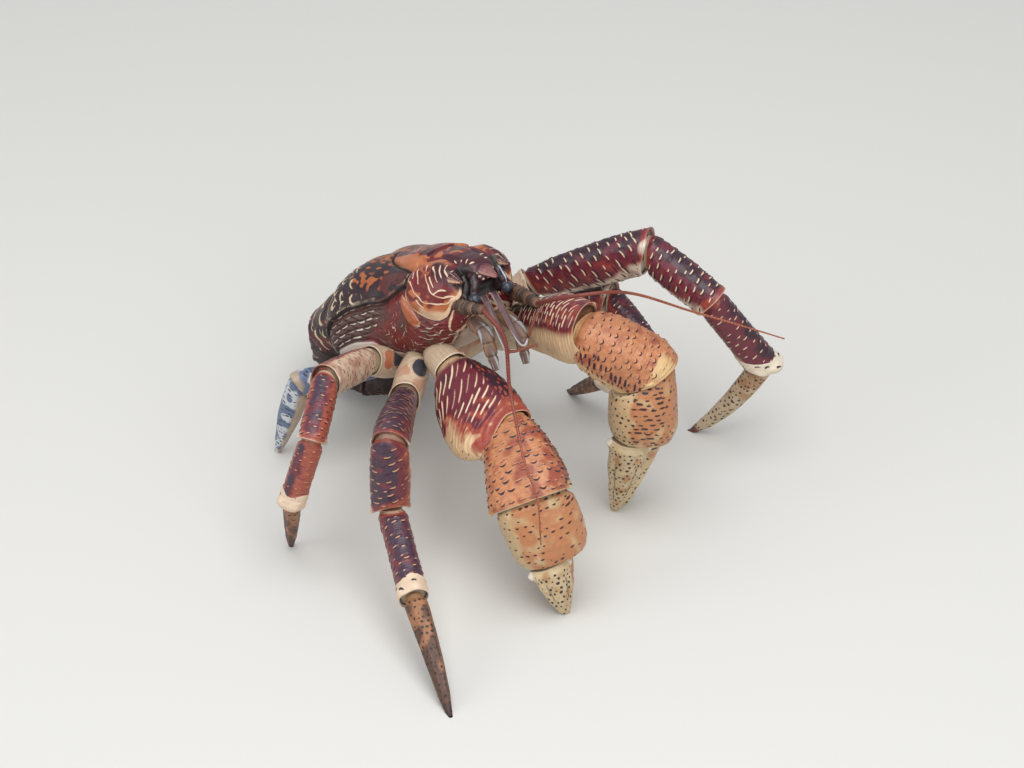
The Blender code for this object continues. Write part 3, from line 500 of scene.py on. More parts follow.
class Joint:
    """One tube of a limb, between two hinges."""

    def __init__(self, limb, k, up, rows, power):
        hinges = from_model(HINGES[limb]) if isinstance(limb, str) else from_model(limb)
        self.start, self.end = hinges[k], hinges[k + 1]
        self.axis = self.end - self.start
        self.length = np.linalg.norm(self.axis)
        self.axis = self.axis / self.length
        self.up = up - self.axis * (up @ self.axis)
        self.up /= np.linalg.norm(self.up)
        self.side = np.cross(self.axis, self.up)
        self.rows = np.array(rows, float)
        self.power = power
        self.start_meets = k > 0
        self.hinge_angle = None
        if k + 2 < len(hinges):
            beyond = hinges[k + 2] - hinges[k + 1]
            beyond = beyond / np.linalg.norm(beyond)
            pin = np.cross(self.axis, beyond)
            self.hinge_angle = math.atan2(pin @ self.up, pin @ self.side)
            self.toward = math.atan2(beyond @ self.up, beyond @ self.side)
            self.bend = math.degrees(math.acos(np.clip(self.axis @ beyond, -1, 1)))
        self.walls = []
        for hinge, other, sign in ((k, k - 1, -1), (k + 1, k + 2, 1)):
            if 0 <= other < len(hinges):
                beyond = hinges[other] - hinges[hinge]
                beyond = beyond / np.linalg.norm(beyond)
                normal = self.axis + beyond * sign
                normal /= np.linalg.norm(normal)
                self.walls.append((sign, hinges[hinge] - normal * sign * GAP / 2, normal))
            else:
                self.walls.append((sign, None, None))

    def sizes(self, t):
        return smooth_rows(self.rows, t)

    def surface(self, t, angle, lift=0.0):
        """Points on the tube, raised by lift millimetres, and the way out of it."""
        size = self.sizes(t)
        x, y = oval(angle, size[..., 0], size[..., 1], self.power)
        out = np.stack((np.cos(angle) / size[..., 0], np.sin(angle) / size[..., 1]), -1)
        out /= np.linalg.norm(out, axis=-1, keepdims=True)
        x, y = x + size[..., 2] + out[..., 0] * lift, y + size[..., 3] + out[..., 1] * lift
        return self.start + self.axis * (t * self.length)[..., None] + self.side * (x * MM)[..., None] \
            + self.up * (y * MM)[..., None]

    def outward(self, t, angle):
        """The way out of the tube at each point."""
        size = self.sizes(t)
        x, y = np.cos(angle) / size[..., 0], np.sin(angle) / size[..., 1]
        return (self.side * x[..., None] + self.up * y[..., None]) / np.hypot(x, y)[..., None]

    def span(self, angle):
        """For each direction round the tube, where it meets the two hinge planes."""
        ends = []
        for sign, point, normal in self.walls:
            t = np.full(angle.shape, float(self.rows[0, 0] if sign < 0 else self.rows[-1, 0]))
            if point is not None:
                t = np.full(angle.shape, 0.0 if sign < 0 else 1.0)
                for _ in range(6):
                    off = (self.surface(t, angle) - point) @ normal
                    t = t - off / (self.axis @ normal) / self.length
            ends.append(t)
        return ends


limb_sizes = {
    "claw_right_merus": [(0, 12, 14, 0, -1), (0.2, 14, 21, 0, -3), (0.4, 16, 27, 0, -5),
                         (0.7, 17, 31, 0, -7),
                         (1, 16, 31, 0, -9)],
    "claw_right_wrist": [(0, 15, 17, 0, 4), (0.35, 20, 24, 0, 4), (0.75, 23, 29, 0, 4), (1, 23, 30, 0, 2)],
    "claw_left_merus": [(0, 12, 15, 0, 1), (0.4, 15, 21, 0, 4), (0.8, 18, 26, 0, 5), (1, 18, 25, 0, 4)],
    "claw_left_wrist": [(0, 19, 20, 0, 2), (0.4, 23, 24, 0, 3), (1, 23, 24, 0, 3)],
    "leg1_merus": [(0, 9, 12, 0, 0), (0.35, 11, 16, 0, 0), (0.8, 13, 18, 0, 0), (1, 12.5, 17, 0, 0)],
    "leg1_carpus": [(0, 11.5, 13.5, 0, 0), (0.5, 13, 15, 0, 0), (1, 12, 14, 0, 0)],
    "leg1_propodus": [(0, 10, 11.5, 0, 0), (0.5, 10, 12, 0, 0), (1, 10, 12.5, 0, 0)],
    "leg2_merus": [(0, 8, 10, 0, 0), (0.4, 10, 13, 0, 0), (1, 10.5, 13, 0, 0)],
    "leg2_carpus": [(0, 9.5, 11, 0, 0), (0.5, 10, 12, 0, 0), (1, 9.5, 10.5, 0, 0)],
    "leg2_propodus": [(0, 8, 9, 0, 0), (1, 8, 9, 0, 0)],
}
print(len(limb_sizes), "sizes of joint")

# %% [markdown]
# ## One shell for each joint
#
# A real limb joint ends in a collar with a thin pale lip, and the next joint starts inside it, a
# little narrower, with soft skin between them. Two hard knobs, one at each end of the hinge, carry
# the joint. So each shell here runs a few millimetres past its hinge, folds back into a shallow
# cup, and starts narrow. The relief fades near both ends, where the real shell is smooth.

# %% Make a limb joint's shell
TUCK = 2.4
FOLD = ((0.03, -0.6), (0.08, -2.0), (0.22, -2.6), (0.55, -2.8))


def degrees_between(angle, first, last, blur=14):
    """1 inside a range of directions round the joint, fading to 0 outside it."""
    middle, half = math.radians((first + last) / 2), math.radians((last - first) / 2)
    off = np.abs(turned_from(angle, middle))
    return 1 - soft(off, half - math.radians(blur) / 2, half + math.radians(blur) / 2)


def add(tones, tone, amount):
    """Raise a tone where the new amount is higher."""
    tones[tone] = np.maximum(tones.get(tone, 0 * amount), amount)


def limb_shell(node, joint, paint, relief, around, along, tint, knobs=1.0, lobe=None):
    """The shell of one tube between two hinges. Its marks come from relief, its colours from tint."""
    tube, angle, v = fine_tube(around, along)
    length = joint.length / MM
    low, high = joint.span(angle)
    ring = np.round(v * along).astype(int)
    reach, lobe_here = np.zeros_like(v), np.zeros_like(v)
    fold = np.zeros_like(v, int)
    if joint.hinge_angle is not None:
        strong = min(joint.bend / 40, 1)
        across_hinge = np.cos(angle - joint.hinge_angle) ** 2
        inner_side = np.clip(np.cos(angle - joint.toward), 0, 1)
        reach = 1.6 + strong * (1.2 * across_hinge ** 6 - 2.6 * inner_side ** 2)
        if lobe:
            lobe_here = degrees_between(angle, *lobe[:3])
            reach = reach + lobe[3] * lobe_here
        fold = np.maximum(ring - (along - len(FOLD)), 0)
        v = np.minimum(ring / (along - len(FOLD)), 1.0)
    t = low + (high + reach / length - low) * v
    radius = joint.sizes(t)[:, :2].mean(axis=1)
    from_low, from_high = (t - low) * length, (high - t) * length + reach
    tones = relief(angle * radius, t * length, t)
    inner = soft(from_low, 2.0, 8.0) * (soft(from_high, 0.8, 4.0) if joint.hinge_angle is not None else 1)
    lift = tones.pop("lift") * inner
    for tone in ("light", "dark"):
        tones[tone] = tones.get(tone, 0 * t) * inner
    for tone in ("rim", "hollow_shade", "mid", "warm"):
        tones.setdefault(tone, 0 * t)
    tones["patch"] = blotch(joint.surface(t, angle), 120, 2.0)
    out = joint.outward(t, angle)
    if joint.start_meets:
        near_start = 1 - soft(from_low, 0.5, 7.5)
        lift -= TUCK * near_start
        add(tones, "rim", 0.62 * (1 - soft(from_low, 2.0, 5.0)))
        add(tones, "warm", 0.8 * (1 - soft(from_low, 4.0, 10.0)))
        lift += 0.25 * np.sin(from_low * 3.1) * (1 - soft(from_low, 3.0, 5.0))
    if joint.hinge_angle is not None:
        lift += 0.55 * np.exp(-((from_high - 1.2) / 1.5) ** 2) * (1 - lobe_here)
        add(tones, "rim", 0.62 * np.exp(-((from_high - 0.4) / 0.7) ** 2))
        add(tones, "dark", 0.55 * np.exp(-((from_high - 2.6) / 0.6) ** 2))
        for turned in (0, math.pi):
            off = turned_from(angle, joint.hinge_angle + turned)
            knob = np.exp(-((off * radius / 2.8) ** 2) - ((from_high - 2.4) / 2.6) ** 2) * strong * knobs
            halo = np.exp(-((off * radius / 9) ** 2) - (from_high / 11) ** 2) * strong * knobs
            lift += 1.3 * knob
            add(tones, "rim", soft(knob, 0.25, 0.6))
            add(tones, "warm", halo * 1.2)
            add(tones, "rim", soft(halo, 0.35, 0.9) * 0.6)
        # Painted shade inside the folded cup where the next joint goes in
        tones["hollow_shade"] = np.where(fold == 2, 0.9, np.where(fold == 3, 0.5, tones["hollow_shade"]))
        tones["rim"] = np.where(fold >= 3, 0.45, tones["rim"])
        if lobe:
            near = np.clip(1 - from_high / (lobe[3] + 12), 0, 1)
            lift -= lobe[4] * lobe_here * np.clip(-np.sin(angle), 0, 1) * (1 - np.sqrt(1 - near ** 2))
    pale = soft(-out[:, 2] + 0.5 * (tones["patch"] - 0.5), 0.25, 0.75)
    add(tones, "rim", pale * 0.6)
    more = tint(tones, t, angle, from_low, from_high)
    lift = lift if more is None else lift + more
    tones["light"] = tones["light"] * (1 - 0.7 * np.clip(pale, 0, 1))
    tones.pop("patch")
    points = joint.surface(t, angle, lift)
    for k, (inward, back) in enumerate(FOLD, start=1):
        folded = (fold == k)[:, None]
        points = np.where(folded, points + (joint.end - points) * inward + joint.axis * back * MM, points)
    points[:, 2] = np.maximum(points[:, 2], 0)
    finish_piece(node + "_shell", tube, points, tones, paints[paint], [node])


print("shell maker ready")

# %% [markdown]
# ## Marks of the limbs
#
# The claws' long joints carry long cream stripes that lean back along the limb and fan out. The
# wrists carry low pointed scales, each with a dark front and a pale tip. The walking legs carry
# short pale strokes with dark fronts, and some scales have none. Palms, fingers and toes carry
# rows of small dark pits.

# %% Write the marks
def stripe_relief(slants, wide, seed, fine_until, apart):
    """Long cream stripes. Their slant changes from the first value to the last along the joint."""
    def relief(round_at, along_at, t):
        slant = np.interp(t, (0, 0.5, 1), slants)
        at = (along_at + slant * round_at) / (apart * (4.6 + 2.4 * np.abs(slant)))
        at = at + 0.10 * np.sin(round_at * 0.35) + 0.08 * np.sin(along_at * 0.21 + 1)
        height, line = crescents(round_at, at * 8, wide, 8, seed, 0.55, 0.0, 0.15)
        fine = 1 - soft(t, fine_until - 0.12, fine_until + 0.05)
        fine_line = (np.exp(-((at * 2.3 % 1.0 - 0.5) / 0.17) ** 2)
                     * (0.5 + 0.5 * np.sin(round_at * 0.5 + at)))
        grain, _ = crescents(round_at, along_at, 2.2, 1.8, seed + 2, 0.10, 0.3)
        return {"lift": height * (1 - fine) + grain, "light": line * (1 - fine), "dark": fine_line * fine,
                "rim": fine * 0.62}
    return relief


def spine_relief(wide, pitch, seed, tall=1.1):
    def relief(round_at, along_at, t):
        x, y, dice, second = cells(round_at, along_at, wide, pitch, seed, 0.3, 0.6)
        x = x + (second - 0.5) * 0.3
        size = 0.65 + 0.6 * dice
        run = np.where(y < 0.62, (y - 0.62) / 0.5, (y - 0.62 + 0.8 * x * x) / 0.09)
        body = np.clip(1 - np.hypot(x / (0.40 * size), run), 0, 1)
        front = (np.exp(-((x / (0.33 * size)) ** 4) - ((y - 0.72 + 1.4 * x * x) / 0.085) ** 2)
                 * (0.6 + second))
        tip = np.exp(-((x / (0.22 * size)) ** 2) - ((y - 0.57 + 1.0 * x * x) / 0.06) ** 2)
        grain, grain_line = crescents(round_at, along_at, 3.0, 2.6, seed + 1, 0.20, 0.4)
        return {"lift": tall * size * body + grain, "warm": 0.35 + tip * 0.7,
                "dark": front * 1.1 + grain_line * 0.25,
                "light": tip * 0.62}
    return relief


def stroke_relief(wide, pitch, seed, tall, slant=0.0, none=0.3, long=0.30):
    """Low scales with short pale strokes. A share of them has none."""
    def relief(round_at, along_at, t):
        x, y, dice, second = cells(round_at, along_at + slant * round_at, wide, pitch, seed, 0.2, 0.6)
        x = x + (jitter(dice * 100, second, seed) - 0.5) * 0.3
        half = long * (0.55 + 0.8 * dice)
        stroke = np.exp(-((x / half) ** 4) - ((y - 0.60 + 0.2 * x * x) / 0.095) ** 2) * (second > none)
        front = np.exp(-((x / (half * 1.3)) ** 4) - ((y - 0.80 + 0.2 * x * x) / 0.09) ** 2)
        rise = soft(y, 0.1, 0.66) * (1 - soft(y, 0.70, 0.86)) * soft(0.5 - np.abs(x), 0.02, 0.25)
        grain, grain_line = crescents(round_at, along_at, 2.4, 2.1, seed + 3, 0.14, 0.4)
        return {"lift": tall * rise * (0.4 + 0.8 * dice) + grain, "light": stroke,
                "dark": front * 0.9 + grain_line * 0.2}
    return relief


def dot_relief(wide, pitch, seed, tall=0.3, none=0.3, half_round=0.16, half_along=0.11):
    def relief(round_at, along_at, t):
        x, y, dice, second = cells(round_at, along_at, wide, pitch, seed, 0.3, 0.6)
        x = x + (jitter(dice * 100, second, seed) - 0.5) * 0.35
        size = 0.6 + 0.7 * dice
        mound = np.clip(1 - np.hypot(x / 0.42, (y - 0.5) / 0.42) / size, 0, 1) ** 0.7
        dot = (np.exp(-(((x / (half_round * size)) ** 2 + ((y - 0.55) / (half_along * size)) ** 2) ** 2))
               * (second > none))
        return {"lift": tall * mound - 0.35 * dot, "dark": dot * 1.2}
    return relief


def strokes(first_at, second_at, wide, pitch, seed, half_first, half_second, none=0.2):
    """Short dark dashes anywhere: half sizes are shares of the cell."""
    x, y, dice, second = cells(first_at, second_at, wide, pitch, seed, 0.2, 0.6)
    x = x + (jitter(dice * 100, second, seed) - 0.5) * 0.4
    size = 0.65 + 0.6 * dice
    return (np.exp(-((x / (half_first * size)) ** 4) - ((y - 0.5) / (half_second * size)) ** 4)
            * (second > none))


print("marks ready")

# %% [markdown]
# ## Colours of each joint
#
# The long joint of the right claw is maroon with long cream stripes, nearly black with orange
# marks along its front edge, and creamy orange in its lower corner. Its mate shows a wide beige
# inner face. The walking legs run from black purple to red, and their last long joint ends in a
# white band.

# %% Tint the joints
def right_merus_tint(tones, t, angle, from_low, from_high):
    edge = degrees_between(angle, 40, 130, 30)
    squiggle = strokes(t * 90 + angle * 9, angle * 22, 7, 4.5, 33, 0.40, 0.22, 0.35) * edge
    tones["mid"] = np.maximum(edge * (1 - soft(t, 0.78, 0.95)),
                              soft(tones["patch"], 0.55, 0.75) * 0.5 * (1 - soft(t, 0.5, 0.7)))
    tones["mid"] *= 1 - squiggle
    tones["warm"] = np.clip(0.05 + 0.7 * soft(t + 0.4 * (tones["patch"] - 0.5), 0.70, 1.0) + squiggle, 0, 1)
    corner = degrees_between(angle, -160, -28, 44) * soft(t + 0.15 * (tones["patch"] - 0.5), 0.56, 0.74)
    add(tones, "rim", corner * 0.72 + soft(t, 0.84, 1.0) * soft(tones["patch"], 0.5, 0.72) * 0.5)
    tones["warm"] = np.clip(tones["warm"] + corner, 0, 1)
    add(tones, "dark", corner * 0.6 * strokes(t * 90, angle * 22, 7, 6, 34, 0.12, 0.35, 0.3))
    tones["light"] = tones["light"] * (1 - 0.8 * edge) * (1 - corner) * (1 - soft(t, 0.90, 0.98))


def left_merus_tint(tones, t, angle, from_low, from_high):
    inner_face = degrees_between(angle, -150, 14, 30)
    add(tones, "rim", inner_face * 0.72)
    hem = degrees_between(angle, -80, -30, 40)
    tones["dark"] = np.maximum(tones["dark"] * (1 - inner_face),
                               hem * 0.5 * strokes(t * 74, angle * 22, 3, 9, 35, 0.18, 0.4))
    tones["light"] = tones["light"] * (1 - inner_face)
    tones["warm"] = np.clip(0.4 * soft(t, 0.6, 1.0) + 0.6 * (tones["patch"] - 0.5), 0, 1)
    tones["mid"] = degrees_between(angle, 40, 140, 40) * 0.7 * (1 - soft(t, 0.6, 0.95))


def wrist_tint(tones, t, angle, from_low, from_high):
    add(tones, "rim", degrees_between(angle, -150, -66, 50) * 0.62)
    tones["warm"] = np.clip(tones["warm"] + 0.05 + 0.4 * degrees_between(angle, -80, 0, 70)
                            + 1.1 * (tones["patch"] - 0.5), 0, 1)
    tones["mid"] = degrees_between(angle, 50, 135, 60) * soft(tones["patch"], 0.4, 0.65) * 0.5
    spiny = degrees_between(angle, 60, 110, 40)
    add(tones, "dark", spiny * strokes(t * 74, angle * 24, 4.5, 6, 36, 0.24, 0.3))
    return spiny * 0.7 * strokes(t * 74, angle * 24, 4.5, 6, 36, 0.3, 0.4)


def left_wrist_tint(tones, t, angle, from_low, from_high):
    face = degrees_between(angle, -175, -20, 40)
    add(tones, "rim", face * 0.66)
    band = degrees_between(angle, -30, 8, 20)
    dashes = strokes(t * 58 + angle * 14, angle * 23, 4.6, 7.5, 37, 0.26, 0.42, 0.1) * band
    add(tones, "dark", dashes)
    add(tones, "dark", face * 0.8 * strokes(t * 58, angle * 23, 4.6, 4.2, 38, 0.16, 0.18, 0.5))
    tones["warm"] = np.clip(0.55 + tones["warm"] * 0.5 + 0.8 * (tones["patch"] - 0.5), 0, 1)
    tones["mid"] = band * 0.35
    add(tones, "rim", soft(t, 0.88, 1.0) * degrees_between(angle, 10, 80, 50) * 0.75)


def leg_tint(dark_from, dark_to, cream_from, cream_to, red, bulbs=None):
    """Black purple on one side, red on the other and near both ends, cream along the lower edge."""
    def tint(tones, t, angle, from_low, from_high):
        patch = tones["patch"]
        dark_side = degrees_between(angle, dark_from, dark_to, 80)
        near_end = np.maximum(1 - soft(from_low, 2, 9), 1 - soft(from_high, 2, 8 if bulbs is None else 13))
        tones["warm"] = np.clip(red * (1 - dark_side) + 0.6 * near_end + 0.6 * (patch - 0.5), 0, 1)
        tones["mid"] = np.clip(dark_side * (0.72 + 0.9 * (patch - 0.5)), 0, 1) * (1 - near_end)
        edge = [degrees_between(angle, cream_from, cream_to + more, 36) for more in (0, 30)]
        share = soft(t, 0.45, 1.0)
        add(tones, "rim", (edge[0] * (1 - share) + edge[1] * share) * (0.5 + 0.3 * patch))
        if bulbs is None:
            return None
        white = 1 - soft(from_high + 1.2 * np.sin(angle * 3), 12.5, 14.0)
        add(tones, "rim", white)
        marks = strokes(angle * 10, from_high, 4.5, 22, 39, 0.30, 0.04, 0.2) * white
        tones["dark"] = np.maximum(tones["dark"] * (1 - white), marks)
        tones["light"] = tones["light"] * (1 - white)
        tones["warm"] = tones["warm"] * (1 - white)
        off = [turned_from(angle, bulbs + turned) for turned in (0.62, -0.62)]
        bulb = sum(np.exp(-((o * 10 / 4.6) ** 2) - ((from_high - 3.5) / 4.6) ** 2) for o in off)
        return 0.7 * white * soft(from_high, 1, 4) + 2.4 * bulb
    return tint


LEG_MARKS = {
    ("leg1", "merus"): stroke_relief(7.5, 7.4, 3, 0.6, 0.35, 0.12, 0.40),
    ("leg1", "carpus"): stroke_relief(7.5, 6.8, 4, 0.6, 0.2, 0.2, 0.32),
    ("leg1", "propodus"): stroke_relief(7.0, 6.2, 5, 0.55, 0.15, 0.3, 0.26),
    ("leg2", "merus"): stroke_relief(6.0, 5.0, 13, 0.45, 0.1, 0.45, 0.28),
    ("leg2", "carpus"): stroke_relief(6.0, 5.0, 14, 0.45, 0.1, 0.45, 0.26),
    ("leg2", "propodus"): stroke_relief(5.5, 4.8, 15, 0.4, 0.1, 0.5, 0.24),
}
LEG_TINTS = {
    ("leg1_right", "merus"): (20, 150, -160, -60, 0.4),
             ("leg1_right", "carpus"): (60, 170, -150, -60, 0.45),
    ("leg1_right", "propodus"): (30, 140, -150, -80, 0.4),
             ("leg1_left", "merus"): (34, 170, -115, -26, 0.35),
    ("leg1_left", "carpus"): (40, 170, -120, -24, 0.4),
             ("leg1_left", "propodus"): (20, 150, -140, -60, 0.15),
    ("leg2_right", "merus"): (20, 70, 85, 320, 0.8), ("leg2_right", "carpus"): (60, 120, -170, -90, 0.9),
    ("leg2_right", "propodus"): (100, 150, -100, -40, 0.9),
             ("leg2_left", "merus"): (40, 150, -120, -30, 0.6),
    ("leg2_left", "carpus"): (40, 140, -130, -50, 0.6),
             ("leg2_left", "propodus"): (60, 150, -120, -60, 0.6),
}
for side in ("right", "left"):
    for leg in ("leg1", "leg2"):
        for k, part_name in enumerate(("merus", "carpus", "propodus"), start=1):
            rows = past_ends(limb_sizes[leg + "_" + part_name])
            joint = Joint(leg + "_" + side, k, UP, rows, 2.1 if part_name == "merus" else 2.2)
            bulbs = joint.toward + math.pi if part_name == "propodus" else None
            tint = leg_tint(*LEG_TINTS[leg + "_" + side, part_name], bulbs)
            paint = "dusky_leg" if side == "right" else "leg"
            limb_shell("%s_%s_%s" % (leg, side, part_name), joint, paint, LEG_MARKS[leg, part_name],
                       120, 130, tint)
claw_up = {"right": CLAW_UP, "left": UP}
claw_marks = {"right": stripe_relief((2.5, 2.1, 0.8), 11.0, 6, 0.16, 1.12),
              "left": stripe_relief((-0.4, -0.45, -0.3), 12, 6, 0.08, 0.72)}
merus_tints = {"right": right_merus_tint, "left": left_merus_tint}
wrist_tints = {"right": wrist_tint, "left": left_wrist_tint}
merus_lobes = {"right": (-150, 8, 60, 15, 21), "left": (-110, -10, 70, 9, 9)}
for side in ("right", "left"):
    joint = Joint("claw_" + side, 1, claw_up[side], past_ends(limb_sizes["claw_%s_merus" % side]), 2.2)
    limb_shell("claw_%s_merus" % side, joint, "merus", claw_marks[side], 190, 190,
               merus_tints[side],
               lobe=merus_lobes[side])
    joint = Joint("claw_" + side, 2, claw_up[side], past_ends(limb_sizes["claw_%s_wrist" % side]), 2.3)
    limb_shell("claw_%s_wrist" % side, joint, "wrist", spine_relief(7.0, 6.6, 7), 210, 180,
               wrist_tints[side])
print("limb shells made")

# %% [markdown]
# ## Palms, fingers and toes
#
# The palm is one stiff box with a fixed finger grown from it, and a movable finger hinged beside
# that. The palm and its finger are first two tubes; Blender's voxel remesh melts them into one
# closed skin, which is smoothed and then gets its marks by place. All of them carry small dark
# pits that hold bristles in life. The fingers have white blunt teeth where they meet.

# %% Shape the palms
FIXED_FINGER = [(-0.45, 10, 13, -8, 5), (0, 12, 15, -9, 7), (0.3, 9.5, 11.5, -8, 6), (0.6, 7, 8, -5, 4),
                (0.85, 4.5, 5, -2, 1), (1, 2, 2, 0, 0)]
palm_sizes = {
    "right": [(0, 21, 28, 0, 3), (0.4, 23, 29, 0, 4), (0.8, 22, 28, 0, 4), (1, 19, 24, 0, 4)],
    "left": [(0, 22, 22, 0, 0), (0.4, 26, 25, 0, 0), (0.8, 25.5, 25.5, 0, 1), (1, 22, 22.5, 0, 1)],
}
finger_sizes = {
    "right": [(-0.3, 8, 10, 8, -3), (0, 10, 14, 9, -4), (0.3, 9, 12.5, 8, -3), (0.6, 7, 9, 6, -2),
              (0.85, 4, 5, 3, -1), (1, 2, 2, 0, 0)],
    "left": [(-0.3, 10, 9, 9, -6), (0, 12, 14, 9, -8), (0.3, 11, 13, 8, -6), (0.6, 8, 9, 5, -3),
             (0.85, 5, 5, 2, -1), (1, 2, 2, 0, 0)],
}
fixed_routes = {"right": ((210, -79, 43), (221.5, -70, -3)), "left": ((181.5, 42, 75), (166, 41, -3))}
PALM_VOXEL = 0.85 * MM
PALM_RADIUS, FINGER_RADIUS = 24, 14


def loose_object(name, tubes):
    """Join placed tubes in one object that is only a step on the way."""
    data = bpy.data.meshes.new(name)
    whole = bmesh.new()
    for tube, points in tubes:
        for vert, here in zip(tube.verts, points):
            vert.co = here
        bmesh.ops.recalc_face_normals(tube, faces=tube.faces)
        tube.to_mesh(data)
        tube.free()
        whole.from_mesh(data)
    whole.to_mesh(data)
    whole.free()
    obj = bpy.data.objects.new(name, data)
    bpy.context.scene.collection.objects.link(obj)
    return obj


def melted(obj, voxel, rounds):
    """One closed, smoothed skin round everything in an object."""
    mod = obj.modifiers.new("melt", "REMESH")
    mod.mode = "VOXEL"
    mod.voxel_size = voxel
    bpy.context.view_layer.update()
    skin_of = bmesh.new()
    skin_of.from_mesh(obj.evaluated_get(bpy.context.evaluated_depsgraph_get()).to_mesh())
    bpy.data.objects.remove(obj)
    for _ in range(rounds):
        bmesh.ops.smooth_vert(skin_of, verts=skin_of.verts, factor=0.5, use_axis_x=True, use_axis_y=True,
                              use_axis_z=True)
    skin_of.normal_update()
    return skin_of


PALM_DOTS = {"right": (6.0, 6.0, 8, 0.45, 0.2, 0.24, 0.12), "left": (5.0, 5.0, 8, 0.35, 0.15, 0.22, 0.2)}


def palm_tint(tones, t, angle, side):
    """Orange with purple fronts on the middle of the outer face, beige beside it."""
    patch = tones["patch"]
    if side == "left":
        orange = degrees_between(angle, -22, 130, 30) * (1 - 0.5 * soft(t, 0.85, 1.1))
        band = degrees_between(angle, -24, 34, 24) * (1 - soft(t, 0.9, 1.1))
    else:
        orange = degrees_between(angle, -50, 130, 50)
        band = degrees_between(angle, 40, 110, 40) * (1 - soft(t, 0.15, 0.45))
    tones["warm"] = np.clip(orange * (0.75 + 1.0 * (patch - 0.5)), 0, 1)
    fronts = strokes(angle * 24 + t * 14, t * 72, 7.0, 5.6, 41, 0.34, 0.23, 0.1) * band
    tones["dark"] = np.maximum(tones["dark"] * (1 - 0.5 * band), fronts)
    tones["mid"] = band * 0.3 * soft(patch, 0.4, 0.6)
    add(tones, "rim", (1 - orange) * 0.25 + soft(t, 0.86, 1.0) * (1 - orange) * 0.3)


def finger_up(side):
    return CLAW_UP if side == "right" else RIGHTWARD


for side in ("right", "left"):
    palm = Joint("claw_" + side, 3, finger_up(side), past_ends(palm_sizes[side], ahead=0.06, shrink=0.86),
                 2.3)
    fixed = Joint(fixed_routes[side], 0, finger_up(side), FIXED_FINGER, 2.2)
    tube, angle, v = fine_tube(72, 60)
    low, high = palm.span(angle)
    high = np.minimum(high, 1.03)
    tubes = [(tube, palm.surface(low + (high - low) * v, angle))]
    tube, angle, v = fine_tube(48, 60)
    tubes.append((tube, fixed.surface(-0.45 + 1.45 * v, angle)))
    palm_skin = melted(loose_object("palm_step", tubes), PALM_VOXEL, 10)
    place = np.array([v.co for v in palm_skin.verts])
    normal = np.array([v.normal for v in palm_skin.verts])
    from_start = place - palm.start
    t = from_start @ palm.axis / palm.length
    angle = np.arctan2(from_start @ palm.up, from_start @ palm.side)
    from_low = (from_start - palm.walls[0][1] + palm.start) @ palm.walls[0][2] / MM
    relief = dot_relief(*PALM_DOTS[side])
    tones = relief(angle * PALM_RADIUS, t * palm.length / MM, t)
    tones["patch"] = blotch(place, 110, 5.0)
    lift = tones.pop("lift") * soft(from_low, 2, 8) - TUCK * (1 - soft(from_low, 0.5, 7.5))
    palm_tint(tones, t, angle, side)
    tones.pop("patch")
    add(tones, "rim", 0.6 * (1 - soft(from_low, 2.0, 5.0)))
    add(tones, "rim", soft(-normal[:, 2], 0.4, 0.9) * 0.5)
    raised_palm = place + normal * (lift * MM)[:, None]
    raised_palm[:, 2] = np.maximum(raised_palm[:, 2], 0)
    finish_piece("claw_%s_palm_shell" % side, palm_skin, raised_palm, tones, paints["palm"],
                 ["claw_%s_palm" % side])
print("palms melted")

# %% Shape the fingers, their teeth and the toes
def finger_tint(tones, t, angle, from_low, from_high):
    """Beige with ridges along it. A white knob stands on each side of the hinge."""
    tones["warm"] = np.clip(0.35 * degrees_between(angle, -40, 90, 60) + 0.9 * (tones["patch"] - 0.55), 0,
                            1)
    ridge = np.cos(angle * 5) * soft(from_low, 4, 14) * soft(from_high, 2, 20)
    tones["mid"] = soft(-ridge, 0.75, 0.98) * 0.55 * soft(t, 0.1, 0.3)
    knobs = sum(np.exp(-((turned_from(angle, middle) * FINGER_RADIUS / 4.2) ** 2)
                       - ((from_low - 4.5) / 4.0) ** 2)
                for middle in (math.pi / 2, -math.pi / 2))
    tones["rim"] = np.maximum(tones["rim"] * 0.5, soft(knobs, 0.25, 0.6))
    tones["dark"] = tones["dark"] * (1 - soft(knobs, 0.1, 0.4))
    # Painted shade at the finger's root, where it goes into the palm
    add(tones, "hollow_shade", (1 - soft(from_low, 0.5, 2.5)) * 0.7)
    return 0.55 * ridge + 4.0 * knobs


def toe_tint(tones, t, angle, from_low, from_high):
    tones["warm"] = np.clip((1 - soft(t, 0.10, 0.7)) * 0.6 + 0.1 + 1.1 * (tones["patch"] - 0.5), 0, 1)
    tones["mid"] = np.maximum(soft(t, 0.8, 0.97), 0.3 * (1 - soft(tones["patch"], 0.25, 0.4)))
    tones["rim"] = np.maximum(tones["rim"] * 0.5, (1 - soft(t, 0.02, 0.08)) * 0.5)
    tones["dark"] = tones["dark"] * soft(from_low, 2, 6)
    return 0.35 * np.cos(angle * 6) * soft(from_low, 4, 12) * soft(from_high, 4, 20)


